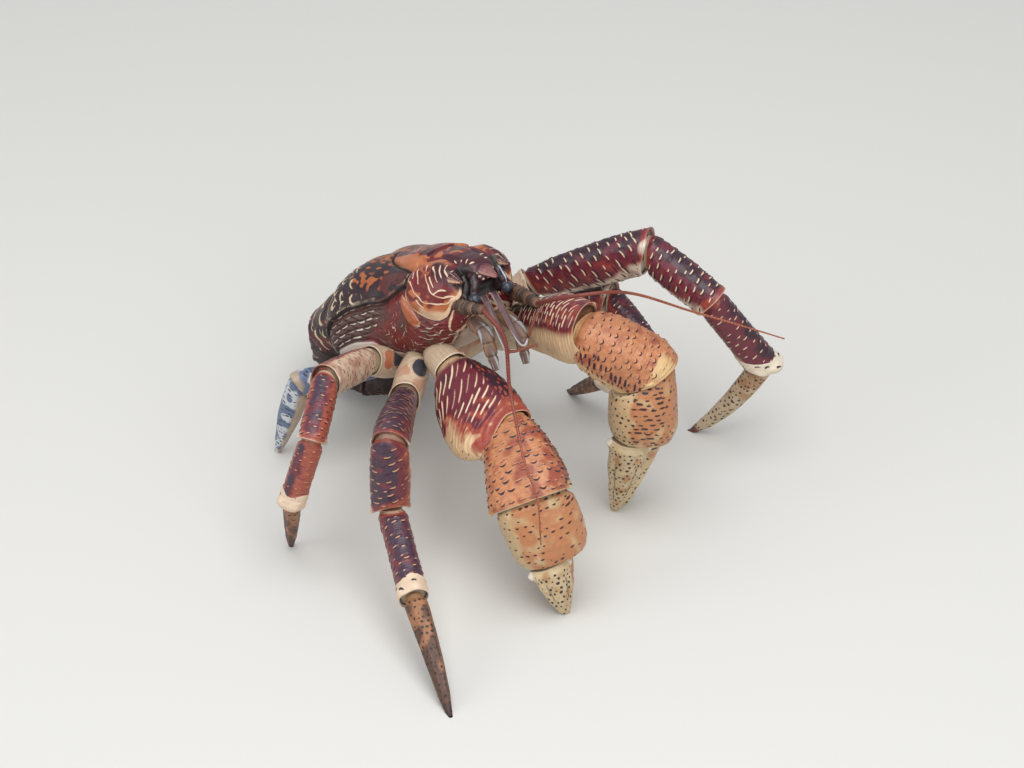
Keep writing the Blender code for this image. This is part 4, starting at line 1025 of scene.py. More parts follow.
toe_sizes = {
    "leg1": [(-0.15, 7, 8, 0, 0), (0, 8.5, 9.5, 0, 0), (0.25, 7.6, 8.7, 0, -3), (0.5, 6.4, 7.4, 0, -4.5),
             (0.75, 4.6, 5.2, 0, -3.5), (0.93, 2.6, 2.8, 0, -1), (1, 1.3, 1.3, 0, 0)],
    "leg2": [(-0.15, 5, 5.5, 0, 0), (0, 6.5, 7, 0, 0), (0.4, 5.5, 6, 0, 0), (0.75, 3.8, 4, 0, 0),
             (0.93, 2.2, 2.4, 0, 0), (1, 1.3, 1.3, 0, 0)],
}
TEETH_IN_A_ROW = 9
FIRST_TOOTH, NEXT_TOOTH = 0.16, 0.085
teeth = bmesh.new()
for side in ("right", "left"):
    finger = Joint("claw_" + side, 4, finger_up(side), finger_sizes[side], 2.2)
    fixed = Joint(fixed_routes[side], 0, finger_up(side), FIXED_FINGER, 2.2)
    limb_shell("claw_%s_finger" % side, finger, "finger", dot_relief(3.6, 4.2, 9, 0.3, 0.15, 0.22, 0.26),
               120, 170, finger_tint)
    for holder, facing in ((finger, math.radians(165)), (fixed, math.radians(-15))):
        for k in range(TEETH_IN_A_ROW):
            at = FIRST_TOOTH + NEXT_TOOTH * k
            spot = holder.surface(np.array([at]), np.array([facing]), 0.2)[0]
            if spot[2] < 4 * MM:
                continue
            size = (2.6 - 0.14 * k) * (0.85 + 0.3 * jitter(k, 1.0, 5)) * MM
            stretch = Matrix.Diagonal((1.0, 0.8, 1.1, 1.0))
            bmesh.ops.create_icosphere(teeth, subdivisions=2, radius=size,
                                       matrix=Matrix.Translation(spot) @ stretch)
    for leg in ("leg1", "leg2"):
        bow = {"right": -0.8, "left": 1}[side] if leg == "leg1" else 1
        rows = [(t, a, b, c, d * bow) for t, a, b, c, d in toe_sizes[leg]]
        joint = Joint(leg + "_" + side, 4, UP, rows, 2.2)
        toe_paint = "pale_toe" if (leg, side) == ("leg1", "left") else "toe"
        limb_shell("%s_%s_dactyl" % (leg, side), joint, toe_paint,
                   dot_relief(3.8, 4.4, 11, 0.3, 0.1, 0.27, 0.22),
                   96, 170, toe_tint)
hand_over("claw_teeth", teeth, {}, paints["tooth"], [])
print("claws and toes made")

# %% [markdown]
# ## The carapace
#
# The carapace is one hard shield over the head and the gills. A deep bent groove crosses it, and
# a pale rim parts the domed back from the scaly flanks. It is shaped here as one fine skin, so that
# lines run on from plate to plate, and is then divided along those grooves. Each point on it is
# known by how far forward it lies and how far down it is from the middle line of the back,
# measured over the surface. The grooves, lobes and stripes are lines in those two numbers.

# %% Lay the skin of the carapace
CARAPACE = np.array((
    (77.5, 3, 7, 5, 3), (75, 12, 15, 5, -5), (70, 22, 19, 2, -14), (62, 30, 22, 0, -25),
                     (48, 36, 27, -3, -37),
    (30, 40, 30, -5, -43), (12, 43, 32, -6, -46), (-2, 44, 32, -6, -46), (-16, 51, 34, -7, -46),
    (-34, 59, 36, -9, -46), (-50, 62, 33, -11, -44), (-63, 57, 26, -12, -39), (-73, 44, 16, -12, -31),
    (-79, 26, 5, -12, -23),
), float)[::-1]
SKIN_AROUND, SKIN_ALONG = 560, 310
skin, turn_of, run_of = fine_tube(SKIN_AROUND, SKIN_ALONG)
ring_of = np.round(run_of * SKIN_ALONG).astype(int)
down_share = np.abs(turned_from(turn_of, math.pi / 2)) / math.pi
left_of = np.where(np.cos(turn_of) >= 0, 1.0, -1.0)
skin_x = CARAPACE[0, 0] + (CARAPACE[-1, 0] - CARAPACE[0, 0]) * ring_of / SKIN_ALONG
skin_y, skin_z, down = (np.zeros(len(skin.verts)) for _ in range(3))
sweep = np.linspace(math.pi / 2, -math.pi / 2, 240)
for ring in range(SKIN_ALONG + 1):
    here = np.nonzero(ring_of == ring)[0]
    wide, top, middle, low = smooth_rows(CARAPACE, np.array(skin_x[here[0]]))
    c, s = np.cos(sweep).clip(0), np.sin(sweep)
    power = np.where(s > 0, 2.3, 2.8)
    y = wide * c ** (2 / power)
    z = middle + np.where(s > 0, top - middle, middle - low) * np.sign(s) * np.abs(s) ** (2 / power)
    over = np.concatenate(([0], np.cumsum(np.hypot(np.diff(y), np.diff(z)))))
    down[here] = down_share[here] * over[-1]
    skin_y[here] = np.interp(down[here], over, y) * left_of[here]
    skin_z[here] = np.interp(down[here], over, z)
rearward = np.clip((-skin_x - 45) / 30, 0, 1)
deck_x = skin_x + 13 * np.exp(-(skin_y / 17) ** 2) * rearward
dip = 2.0 * np.exp(-(skin_y / 9) ** 2) * np.clip((-skin_x - 15) / 20, 0, 1) * (down_share < 0.4)
flat_skin = from_body(deck_x, skin_y, skin_z - dip)
for vert, here in zip(skin.verts, flat_skin):
    vert.co = here
bmesh.ops.recalc_face_normals(skin, faces=skin.faces)
skin.normal_update()
print("the skin has", len(skin.faces), "faces")

# %% Measure from the lines on the shell
def near_line(line, x=skin_x, q=down):
    """Distance to a line of points, how far along it the nearest point is, and which side."""
    best = np.full(len(x), 1e9)
    along, side = np.zeros(len(x)), np.zeros(len(x))
    run = 0.0
    for (x0, q0), (x1, q1) in zip(line, line[1:]):
        length = math.hypot(x1 - x0, q1 - q0)
        ux, uq = (x1 - x0) / length, (q1 - q0) / length
        f = np.clip((x - x0) * ux + (q - q0) * uq, 0, length)
        gap = np.hypot(x - x0 - ux * f, q - q0 - uq * f)
        closer = gap < best
        best[closer] = gap[closer]
        along[closer] = run + f[closer]
        side[closer] = np.sign(ux * (q - q0) - uq * (x - x0))[closer]
        run += length
    return best, along, side


def within(loop):
    """True for the points inside a closed loop."""
    inside = np.zeros(len(skin_x), bool)
    for (x0, q0), (x1, q1) in zip(loop, loop[1:] + loop[:1]):
        crosses = (q0 > down) != (q1 > down)
        at = x0 + (down - q0) * (x1 - x0) / (q1 - q0 if q1 != q0 else 1e-9)
        inside ^= crosses & (skin_x < at)
    return inside


def rounded(line, steps=6):
    """A smooth line through a few chosen points."""
    rows = np.array([(k, *p) for k, p in enumerate(line)], float)
    at = np.linspace(0, len(line) - 1, (len(line) - 1) * steps + 1)
    return [tuple(p) for p in smooth_rows(rows, at)]


GROOVE = rounded([(-17, 0), (-16, 9), (-11, 17), (8, 26), (21, 29.5), (27, 32)])
RIM = rounded([(27, 32), (27, 38), (21, 45), (11, 51), (0, 54), (-11, 58), (-25, 65), (-40, 72), (-56, 76),
               (-70, 72), (-79, 50)])
CHEEK = rounded([(27, 30), (24, 38), (23, 46), (25, 54), (29, 60), (35, 64), (43, 67), (50, 67), (56, 62),
                 (61, 54), (66, 45), (70, 36),
                 (72, 26), (70, 19), (63, 15), (52, 15), (40, 20), (33, 25), (27, 30)])
OVAL = rounded([(20, 49), (18.5, 60), (21, 71), (27, 75), (33, 70), (29.5, 62), (25, 54), (20, 49)])
LOBE = rounded([(55, 66), (61, 55), (67, 48), (72, 45), (76, 52), (75, 64), (69, 76), (61, 84), (54, 84),
                (51, 76), (55, 66)])
WALL_EDGE = rounded([(-79, 92), (-50, 96), (-30, 92), (-18, 89), (-10, 97), (4, 104), (20, 108), (36, 102),
                     (50, 88), (60, 74), (72, 58)])
STRIP = rounded([(-16, 12), (-4, 14), (8, 14), (22, 15), (33, 16), (44, 12), (58, 9.5), (70, 9)])
to_groove, _, _ = near_line(GROOVE)
to_rim, rim_run, _ = near_line(RIM)
to_cheek, _, _ = near_line(CHEEK)
to_oval, _, _ = near_line(OVAL)
to_lobe, _, _ = near_line(LOBE)
to_edge, edge_run, edge_side = near_line(WALL_EDGE)
to_strip, _, _ = near_line(STRIP)
in_cheek, in_oval, in_lobe = within(CHEEK), within(OVAL), within(LOBE)
dome_loop = GROOVE + RIM[1:] + [(-95, 40), (-95, -5), (-17, -5)]
in_dome = within(dome_loop)
print("dome", in_dome.sum(), "cheek", in_cheek.sum(), "oval", in_oval.sum(), "lobe", in_lobe.sum(),
      "points")

# %% [markdown]
# ## Relief and colour of the carapace
#
# The cheek swells out and hangs a little over the wall below it. A small oval plate lies behind
# it. The wall carries fans of pale dashes, the flank has rows of tile-like scales that follow the
# rim, and the dome has broken arcs toward its rear. The marks rise one or two millimetres, because
# the real shell is nearly smooth. The cheek swells three, and the dip round the eye is over four.

# %% Raise the lobes and sink the grooves
in_head = ~in_dome & (down < np.interp(skin_x, (23, 30, 45, 60, 78), (44, 61, 75, 86, 90))) & (skin_x > 22)
in_head |= ~in_dome & ~(skin_x < -20) & (down < 33)
in_head |= in_cheek | (in_lobe & (skin_x > 50))
in_head[skin_x > 62] = True
above = skin_z + 30 - 0.12 * skin_x
in_under = (above < 0) & ~in_dome & ~in_head
in_flank = ~(in_dome | in_head | in_under)
in_wall = ~in_dome & ~in_cheek & (down > 40) & (down < 115) & (skin_x > -24)
below_edge = (edge_side > 0) & ~in_dome & ~in_cheek

big = blotch(flat_skin, 90, 3.1)
small_blotch = blotch(flat_skin, 240, 7.7)
lift = np.zeros(len(skin_x))
tone_of = {tone: np.zeros(len(skin_x)) for tone in TONES}

swell = soft(to_cheek, 0, 9) * in_cheek
lift += 3.2 * swell - 1.2 * np.exp(-(to_cheek / 1.6) ** 2) * ~in_cheek
lift += 1.8 * soft(to_oval, 0, 3) * in_oval + 2.2 * soft(to_lobe, 0, 4) * in_lobe
lift -= 2.6 * np.exp(-(to_groove / 2.0) ** 2) * (skin_x > -30) * (down < 40)
lift += 1.6 * soft(to_groove, 1.5, 8) * (~in_dome & (down < 34) & (skin_x < 30)) * soft(to_groove, 0, 3)
lift -= 1.3 * np.exp(-(to_strip / 1.5) ** 2) * (skin_x > 18)
lift += 1.5 * np.exp(-((to_rim - 1.0) / 2.2) ** 2) * in_dome * soft(skin_x, -82, -70)
lift -= 2.4 * np.exp(-(to_rim / 5.0) ** 2) * ~in_dome * (skin_x < 28) * (down > 34)
lift -= 1.6 * np.exp(-(to_edge / 1.8) ** 2)

orbit = np.hypot(skin_x - 71, down - 17.5)
lift -= 4.5 * np.exp(-(orbit / 5.5) ** 2)
# Painted shade in the dip round the eye
tone_of["hollow_shade"] += np.exp(-(orbit / 6.5) ** 4)
socket = np.exp(-(((skin_x - 75) / 6.5) ** 2 + ((down - 27) / 13) ** 2) ** 2)
lift -= 2.5 * socket
# Painted shade in the eye socket
tone_of["hollow_shade"] += socket
print("lobes from", lift.min().round(1), "to", lift.max().round(1), "mm")

# %% [markdown]
# ## Scales and dashes of the carapace
#
# Low marks are laid in cells again, but here the cells follow the lines on the shell: tiles run
# along the rim, dashes fan out under the cheek, and arcs cross the rear of the dome. Each kind
# has its own field, with soft borders, so that one runs out as the next begins.

# %% Lay tiles and dashes on the flank and the wall
# The flank's scales are like tiles in rows along the rim, each with a pale upper edge
tile_x, tile_y, tile_dice, tile_pick = cells(rim_run + 1.1 * to_rim, to_rim, 7.4, 4.8, 21, 0.15, 0.10)
tile = soft(0.5 - np.abs(tile_x), 0.02, 0.12) * soft(tile_y, 0.02, 0.16) * (1 - soft(tile_y, 0.82, 0.98))
front_of_tiles = np.interp(down, (52, 92), (4, -22))
scaly = (in_flank | in_under) * soft(front_of_tiles - skin_x, -3, 6) * (edge_side < 0)
lift += (1.5 * tile * (0.75 + 0.4 * tile_dice) - 0.4) * scaly * soft(to_rim, 1, 4)
tile_edge = (np.exp(-((tile_y - 0.19 + 0.4 * tile_x ** 2) / 0.12) ** 2)
             * soft(0.5 - np.abs(tile_x), 0.04, 0.16))
tone_of["light"] += 1.1 * tile_edge * scaly * (0.52 + 0.6 * tile_pick)
# Painted shade in the gaps between the tiles
tone_of["hollow_shade"] += 0.75 * (1 - soft(tile, 0.0, 0.5)) * scaly * soft(to_rim, 1, 4)
tone_of["dark"] += scaly * 0.22 * soft(small_blotch, 0.3, 0.7)
# The wall's dashes fan out below the cheek
fan = skin_x + 0.30 * (down - 60) + 0.004 * (down - 60) ** 2 + 5 * (small_blotch - 0.5)
dash_x, dash_y, dash_dice, dash_pick = cells(down + 5 * np.sin(fan * 0.21), fan, 9.5, 3.7, 22, 0.1, 0.9)
level = soft(skin_x + 0.4 * (down - 75), 20, 30) * soft(down, 64, 72)
dash = (np.exp(-((dash_x / (0.14 + 0.26 * dash_dice)) ** 4) - ((dash_y - 0.5) / 0.14) ** 2)
        * (dash_pick > 0.15))
dashed = in_wall * ~in_oval * (1 - scaly) * (1 - level) * (edge_side < 0) * soft(to_edge, 6, 10)
lift += (0.45 * dash + 0.25 * soft(0.5 - np.abs(dash_y - 0.5), 0.05, 0.3)) * dashed * soft(to_cheek, 2, 5)
tone_of["light"] += dash * dashed * soft(to_cheek, 1.5, 4) * (0.5 + 0.6 * dash_dice)
# Toward the mouth they lie level, in curved rows
curve = down + 0.010 * (skin_x - 38) ** 2 + 3 * (small_blotch - 0.5)
row_x, row_y, row_dice, row_pick = cells(skin_x + 0.2 * down, curve, 12.0, 4.0, 23, 0.3, 0.7)
row_line = (np.exp(-((row_x / (0.2 + 0.26 * row_dice)) ** 4) - ((row_y - 0.5) / 0.13) ** 2)
            * (row_pick > 0.1))
levelled = level * in_wall * (edge_side < 0)
lift += (0.5 * row_line + 0.7 * soft(row_y, 0.1, 0.5) * (1 - soft(row_y, 0.6, 0.9)) - 0.2) * levelled
tone_of["light"] += row_line * levelled * 0.95
# Two rows of small scales follow the wall's lower edge
height, line = crescents(edge_run, -to_edge, 4.6, 3.6, 26, 0.8, 0.5)
hem = ((edge_side < 0) * ~in_dome * ~in_cheek * ~in_oval * (skin_x > -14) * (1 - soft(to_edge, 6, 10))
       * (down > 60) * (1 - levelled))
lift += height * hem
tone_of["light"] += line * hem * 0.8
print("tiles on", int(scaly.astype(bool).sum()), "points, dashes on", int(dashed.astype(bool).sum()))

# %% Draw arcs on the dome and cream lines on the cheek
# Broken arcs on the rear of the dome and short dashes on its side
steep = 1.35 * down - 0.00011 * down ** 3
height, line = crescents(down + 2.5 * np.sin(deck_x * 0.25), -deck_x + steep + 2 * (big - 0.5), 13.0, 9.5,
                         24, 0.6, 1.5, 0.13)
arcs = in_dome * soft(-skin_x + 0.35 * (down - 30), 30, 42) * soft(down, 8, 20)
lift += height * arcs
tone_of["light"] += line * arcs * 1.2
height, line = crescents(down + 0.3 * skin_x, skin_x - 0.5 * down, 7.0, 4.6, 25, 0.3, 0.5, 0.13)
flecks = in_dome * soft(down, 46, 56) * (1 - arcs) * soft(to_rim, 3, 5)
lift += height * flecks
tone_of["light"] += line * flecks * 0.6
# Cream lines on the cheek
cheek_lines = (
    rounded([(47, 33), (49, 37), (51, 41), (54, 44), (60, 44.5), (66, 41)]),
    rounded([(33, 40), (36, 45), (41, 49), (47, 52.5), (55, 51.5), (62, 47), (67, 42)]),
    rounded([(30, 33), (30, 37), (31, 40)]),
    rounded([(38, 30), (39, 35), (42, 40)]),
    rounded([(52, 27), (55, 31), (58, 34)]),
    rounded([(56, 23), (58, 27), (61, 30)]),
    rounded([(61, 20), (62, 24), (65, 28)]),
    rounded([(66, 19), (66, 23)]),
    rounded([(46, 26), (47, 30)]),
    rounded([(34, 33), (35, 37)]),
    rounded([(55, 44), (58, 40), (63, 38)]),
    rounded([(38, 52), (43, 56)]),
    rounded([(51, 34), (54, 39)]),
)
wander_x, wander_down = blotch(flat_skin, 160, 12.0) - 0.5, blotch(flat_skin, 160, 14.0) - 0.5
for cheek_line in cheek_lines:
    gap, run, _ = near_line(cheek_line, skin_x + 2.0 * wander_x, down + 2.0 * wander_down)
    thin = 0.42 + 0.30 * soft(np.sin(run * 0.45 + cheek_line[0][0]), -0.6, 0.8)
    tone_of["light"] += 1.1 * np.exp(-(gap / thin) ** 2) * in_cheek
    lift += 0.3 * np.exp(-(gap / 1.0) ** 2) * in_cheek
print(len(cheek_lines), "cream lines")

# %% [markdown]
# ## Ground colours of the carapace
#
# The plates have pale outlines, and painted shade darkens their grooves. Between them the ground
# turns orange on the cheeks and beside the middle strip, red on the wall and dark purple toward the
# rear. The borders are broken by noise, because on a real shell no colour ends along a ruled line.

# %% Outline the plates
# Pale outlines of the cheek, the oval plate, the lobe and the dome's rim
lower_half = soft(down, 26, 34)
tone_of["rim"] += 0.8 * np.exp(-((to_cheek - 0.9) / 0.9) ** 2) * in_cheek * lower_half
tone_of["rim"] += (0.7 * np.exp(-((to_oval - 0.7) / 0.45) ** 2) * in_oval
                   + 0.8 * np.exp(-((to_lobe - 0.8) / 0.7) ** 2) * in_lobe)
tone_of["rim"] += (0.55 * np.exp(-((to_rim - 2.4) / 2.4) ** 2) * in_dome * soft(skin_x, -76, -50)
                   * (0.35 + 0.9 * small_blotch))
tone_of["rim"] += 0.8 * np.exp(-((to_edge - 1.5) / 1.4) ** 2) * ~in_dome * ~in_cheek * (skin_x > 28)
tone_of["rim"] += soft(to_edge, 0.5, 2.5) * below_edge * (skin_x < 66)
# Painted shade along the grooves, the dome's rim, the middle strip and below the cheek's edge
tone_of["hollow_shade"] += np.exp(-(to_groove / 1.2) ** 2) * (skin_x > -18) * soft(down, 3, 12) * (down < 40)
tone_of["hollow_shade"] += 0.8 * np.exp(-(to_rim / 1.0) ** 2) * (skin_x < 30) * (down > 30)
tone_of["hollow_shade"] += 0.8 * np.exp(-(to_strip / 0.8) ** 2) * soft(skin_x, 26, 34) * (1 - soft(skin_x, 44, 52))
tone_of["hollow_shade"] += 0.6 * np.exp(-(to_cheek / 0.8) ** 2) * ~in_cheek * lower_half
print("outlined", int((tone_of["rim"] > 0.3).sum()), "points")

# %% Turn the ground orange, deep purple or red
on_strip = ~in_dome * ~in_cheek * (down < 30)
orange_patch = ~in_dome * (down < 33) * (skin_x < 34) * soft(down, 12, 16) * (to_cheek > 0.5)
tone_of["warm"] += orange_patch * 1.0
tone_of["warm"] += (on_strip * (1 - orange_patch) * soft(small_blotch, 0.60, 0.74) * 0.8
                    * (1 - soft(skin_x, 50, 66)))
tone_of["mid"] += (on_strip * (1 - orange_patch)
                   * np.clip(soft(big, 0.42, 0.62) + soft(skin_x, 48, 62), 0, 1))
ray_at = math.pi / 2 + np.arctan2(down - 17, skin_x - 70)
rays = np.exp(-((ray_at * 2.2 % 1.0 - 0.5) / 0.13) ** 2) * np.exp(-((orbit - 10.5) / 2.6) ** 2)
tone_of["light"] += rays * on_strip * 1.1
fade_low = soft(down, 50, 62) * in_cheek
tone_of["warm"] += (in_cheek
                    * np.clip(0.8 * (1 - soft(down, 20, 36)) * (1 - soft(skin_x, 50, 64))
                              + 0.4 * soft(small_blotch, 0.45, 0.7), 0, 1))
tone_of["warm"] += in_cheek * soft(down + 10 * (small_blotch - 0.5), 44, 60) * 0.7
tone_of["warm"] += in_cheek * (1 - soft(to_cheek, 2, 7)) * soft(down, 30, 40) * 0.6
tone_of["rim"] += fade_low * (0.35 + 0.65 * big) * soft(skin_x, 30, 42)
tone_of["mid"] += in_cheek * soft(skin_x, 44, 54) * np.exp(-((down - 27) / 9) ** 2) * 0.9
dome_top = in_dome * (1 - soft(down, 16, 30))
tone_of["warm"] += dome_top * (0.35 + 0.6 * soft(small_blotch, 0.4, 0.62))
side_band = in_dome * np.exp(-((down - 42) / 8) ** 2) * (1 - soft(-skin_x, 26, 44))
tone_of["warm"] += side_band * soft(small_blotch, 0.47, 0.6) * 1.1
oval_x, oval_y, _, oval_pick = cells(skin_x + 0.5 * down, down, 11, 8.5, 31, 0.2, 0.5)
ovals = np.exp(-((oval_x / 0.24) ** 2 + ((oval_y - 0.5) / 0.17) ** 2) ** 2) * (oval_pick > 0.25)
tone_of["warm"] += in_dome * soft(down, 18, 24) * (1 - soft(down, 40, 46)) * ovals * 1.1 * (skin_x > -50)
tone_of["mid"] += in_dome * soft(skin_x, -12, 0) * soft(down, 30, 36) * 0.9
tone_of["mid"] += in_dome * soft(big, 0.5, 0.72) * 0.4
tone_of["warm"] += ((in_wall * (1 - scaly) * ~in_cheek * ~in_oval * ~in_head) * (1.1 - 0.8 * big)
                    * (1 - 0.4 * hem))
tone_of["mid"] += in_oval * 0.9
# Painted shade under the eyes: darkened, with the orange taken out
shade_under_eyes = ~in_lobe * ~in_cheek * soft(skin_x, 62, 68) * soft(down, 20, 28)
tone_of["hollow_shade"] += 0.75 * shade_under_eyes
tone_of["warm"] *= 1 - shade_under_eyes
tone_of["mid"] += (in_wall & in_flank) * soft(small_blotch, 0.64, 0.8) * 0.4 * (1 - hem) * (1 - scaly)
tone_of["dark"] += (in_dome * soft(down, 20, 30) * (1 - soft(down, 50, 58)) * soft(big, 0.5, 0.62)
                    * (1 - tone_of["warm"].clip(0, 1)) * 0.9)
# Cream marks fade where the painted shade lies
tone_of["light"] *= 1 - np.clip(tone_of["hollow_shade"], 0, 1)
print("relief from", lift.min().round(1), "to", lift.max().round(1), "mm")

# %% Divide the skin into its plates
normals = np.array([v.normal for v in skin.verts])
raised = flat_skin + normals * (lift * MM)[:, None]
layers = {tone: skin.verts.layers.float.new(tone) for tone in tone_of}
for k, vert in enumerate(skin.verts):
    vert.co = raised[k]
    for tone, layer in layers.items():
        vert[layer] = float(min(max(tone_of[tone][k], 0), 1))
where = {"dome": in_dome, "head": in_head & ~in_dome, "under": in_under,
         "flank_right": in_flank & (skin_y < 0),
         "flank_left": in_flank & (skin_y >= 0)}
corner_of = np.array([[v.index for v in f.verts][:4] for f in skin.faces])
LIP_DEPTH = 2.5 * MM
TOWARD_OWN_MIDDLE = 0.3
PLATES = (("carapace_dome", "dome", "rear", ["rear_shell"], "shell"),
          ("carapace_head", "head", "head", ["head_shield"], "shell"),
          ("carapace_flank_right", "flank_right", "flank", ["flank_right"], "shell"),
          ("carapace_flank_left", "flank_left", "flank", ["flank_left"], "shell"),
          ("carapace_under", "under", "under", ["sternum"], "under"))
owner = np.zeros(len(skin_x), int)
for k, row in enumerate(PLATES):
    owner[where[row[1]]] = k
# Each plate gets a lip that turns inward, and is closed by a fan to a point inside the body.
# The fans of neighbours cross in there, out of sight.
body_middle = Vector(from_body(-5.0, 0.0, -8.0))
for k, (name, _, paint, nodes, slot_name) in enumerate(PLATES):
    plate = skin.copy()
    plate.faces.ensure_lookup_table()
    ours = [owner[list(corners)].max() == k for corners in corner_of]
    gone = [face for face, keep in zip(plate.faces, ours) if not keep]
    bmesh.ops.delete(plate, geom=gone, context="FACES")
    plate.normal_update()
    ways = {v: v.normal.copy() for v in plate.verts}
    made = bmesh.ops.extrude_edge_only(plate, edges=[e for e in plate.edges if e.is_boundary])
    inner = [v for v in made["geom"] if isinstance(v, bmesh.types.BMVert)]
    plate.normal_update()
    inner_ones = set(inner)
    for vert in inner:
        outer = [e.other_vert(vert) for e in vert.link_edges if e.other_vert(vert) not in inner_ones]
        vert.co -= ways[outer[0]] * LIP_DEPTH
    own_middle = sum((v.co for v in inner), Vector()) / len(inner)
    made = bmesh.ops.extrude_edge_only(plate, edges=[e for e in plate.edges if e.is_boundary])
    closing = [v for v in made["geom"] if isinstance(v, bmesh.types.BMVert)]
    bmesh.ops.pointmerge(plate, verts=closing, merge_co=body_middle.lerp(own_middle, TOWARD_OWN_MIDDLE))
    bmesh.ops.recalc_face_normals(plate, faces=plate.faces)
    data = hand_over(name, plate, {}, paints[paint], nodes)
    print(name, len(data.polygons), "faces")
skin.free()

# %% [markdown]
# ## Leg bases and the small rear legs
#
# The stout first joints of the limbs are pale and smooth. Each walking leg's base shows a dark blue
# oval window of thin shell on its outer side, with a beaded edge, and each claw's base fine dark
# stripes. The small fourth legs are blue and white with dark dashes, and their last joint tapers to a
# point.

# %% Shape the leg bases and the small rear legs
def window_tint(middle, at, wide, red):
    """A dark oval window on a base: its direction, its place along it and its width in millimetres."""
    def tint(tones, t, angle, from_low, from_high):
        off = turned_from(angle, math.radians(middle))
        ring = np.hypot(off * 12 / wide, (t - at) * 40 / (wide * 1.25)) + 0.7 * (tones["patch"] - 0.5)
        tones["mid"] = 1 - soft(ring, 0.8, 1.0)
        tones["rim"] = np.maximum(tones["rim"] * (1 - tones["mid"]),
                                  0.6 * np.exp(-((ring - 1.2) / 0.16) ** 2))
        tones["rim"] = tones["rim"] * (1 - tones["mid"])
        tones["warm"] = red * soft(tones["patch"] + 0.15 * np.sin(angle * 3), 0.4, 0.7) * (1 - tones["mid"])
        tones["light"] = tones["light"] * (1 - tones["mid"])
        beads = np.exp(-((ring - 1.32) / 0.10) ** 2) * (0.5 + 0.5 * np.sin(angle * 40))
        return 0.9 * beads - 0.5 * tones["mid"]
    return tint


def shoulder_tint(tones, t, angle, from_low, from_high):
    """Beige with fine dark stripes along it, red along its upper edge."""
    lines = np.exp(-(((angle * 4.6 + 0.04 * np.sin(t * 9)) % 1.0 - 0.5) / 0.13) ** 2)
    tones["dark"] = lines * soft(t, 0.2, 0.45) * degrees_between(angle, -110, 150, 30) * 0.55
    tones["warm"] = degrees_between(angle, 60, 150, 40) * soft(tones["patch"], 0.35, 0.6)
    add(tones, "rim", 0.35 * degrees_between(angle, -120, 40, 40))
    return 0.25 * lines


def plain_relief(seed):
    def relief(round_at, along_at, t):
        height, line = crescents(round_at, along_at, 3.2, 2.6, seed, 0.16, 0.6)
        return {"lift": height, "light": line * 0.35}
    return relief


BASES = {
    "claw_right": ([(0, 11, 12, 0, 0), (1, 12, 14, 0, 0)], 0.5),
    "claw_left": ([(0, 11, 13, 0, 0), (1, 12, 17, 0, 2)], 0.5),
    "leg1": ([(0, 10, 11, 0, 0), (0.5, 12, 14, 0, 0), (1, 11, 13, 0, 0)], 0.3),
    "leg2": ([(0, 9, 9.5, 0, 0), (0.5, 10.5, 12, 0, 0), (1, 9.5, 11, 0, 0)], 0.3),
}
WINDOWS = {"leg1_right": (125, 0.42, 7.5, 0.5), "leg2_right": (150, 0.40, 7.0, 0.7),
           "leg1_left": (60, 0.42, 7.5, 0.5),
           "leg2_left": (50, 0.40, 7.0, 0.7)}
for side in ("right", "left"):
    for limb in ("claw", "leg1", "leg2"):
        rows, behind = BASES.get("claw_" + side if limb == "claw" else limb)
        up = claw_up[side] if limb == "claw" else UP
        joint = Joint("%s_%s" % (limb, side), 0, up, past_ends(rows, behind=behind), 2.3)
        joint.start_meets = False
        tint = shoulder_tint if limb == "claw" else window_tint(*WINDOWS["%s_%s" % (limb, side)])
        limb_shell("%s_%s_base" % (limb, side), joint, "base", plain_relief(40), 150, 110, tint,
                   knobs=0.6)


def dashed_tint(tones, t, angle, from_low, from_high):
    """Dark dashes across the upper side, warm beige below and near both ends."""
    upper_side = degrees_between(angle, 0, 220, 50)
    dashes = strokes(angle * 9, t * 78, 5.0, 3.4, 43, 0.40, 0.22, 0.25)
    tones["dark"] = dashes * upper_side * soft(from_low, 4, 10) * soft(from_high, 5, 12)
    tones["rim"] = np.clip(tones["rim"] * 0.4 + 0.8 * upper_side * soft(tones["patch"], 0.45, 0.7), 0, 1)
    tones["warm"] = np.clip(1 - upper_side + (1 - soft(from_high, 4, 12)) * (from_high < 30)
                            + 1.2 * (tones["patch"] - 0.6), 0, 1)


rear_upper = [(0, 7, 8, 0, 0), (0.5, 8, 10, 0, 0), (1, 8, 10, 0, 0)]
rear_hand = [(-0.12, 6, 7, 0, 0), (0, 8, 9, 0, 0), (0.4, 8, 9, 0, 0), (0.75, 4.5, 5.5, 0, 0),
             (1, 1.5, 1.5, 0, 0)]
for side in ("right", "left"):
    joint = Joint("leg3_" + side, 0, UP, past_ends(rear_upper, behind=0.2, ahead=0.12), 2.2)
    limb_shell("leg3_%s_upper" % side, joint, "small", plain_relief(41), 84, 110, dashed_tint)
    joint = Joint("leg3_" + side, 1, UP, rear_hand, 2.2)
    limb_shell("leg3_%s_hand" % side, joint, "small", plain_relief(42), 84, 110, dashed_tint)
print("bases and rear legs made")

# %% [markdown]
# ## The abdomen
#
# Behind the carapace the body curls down and forward under itself. Each ring of it has a hard
# plate on its back, dark with pale arcs like the rear of the carapace, and leathery sides with
# fine grain. The rings overlap like roof tiles, each one's rear edge over the next.

# %% Curl the abdomen
ABDOMEN = np.array((
    (0, -57, 84, 30, 24, 20), (1, -75, 72, 38, 27, 35), (2, -88, 55, 41, 27, 70), (3, -86, 37, 38, 25, 110),
    (4, -70, 26, 32, 20, 150), (5, -52, 25, 25, 15, 175), (6, -36, 29, 17, 9, 190),
), float)


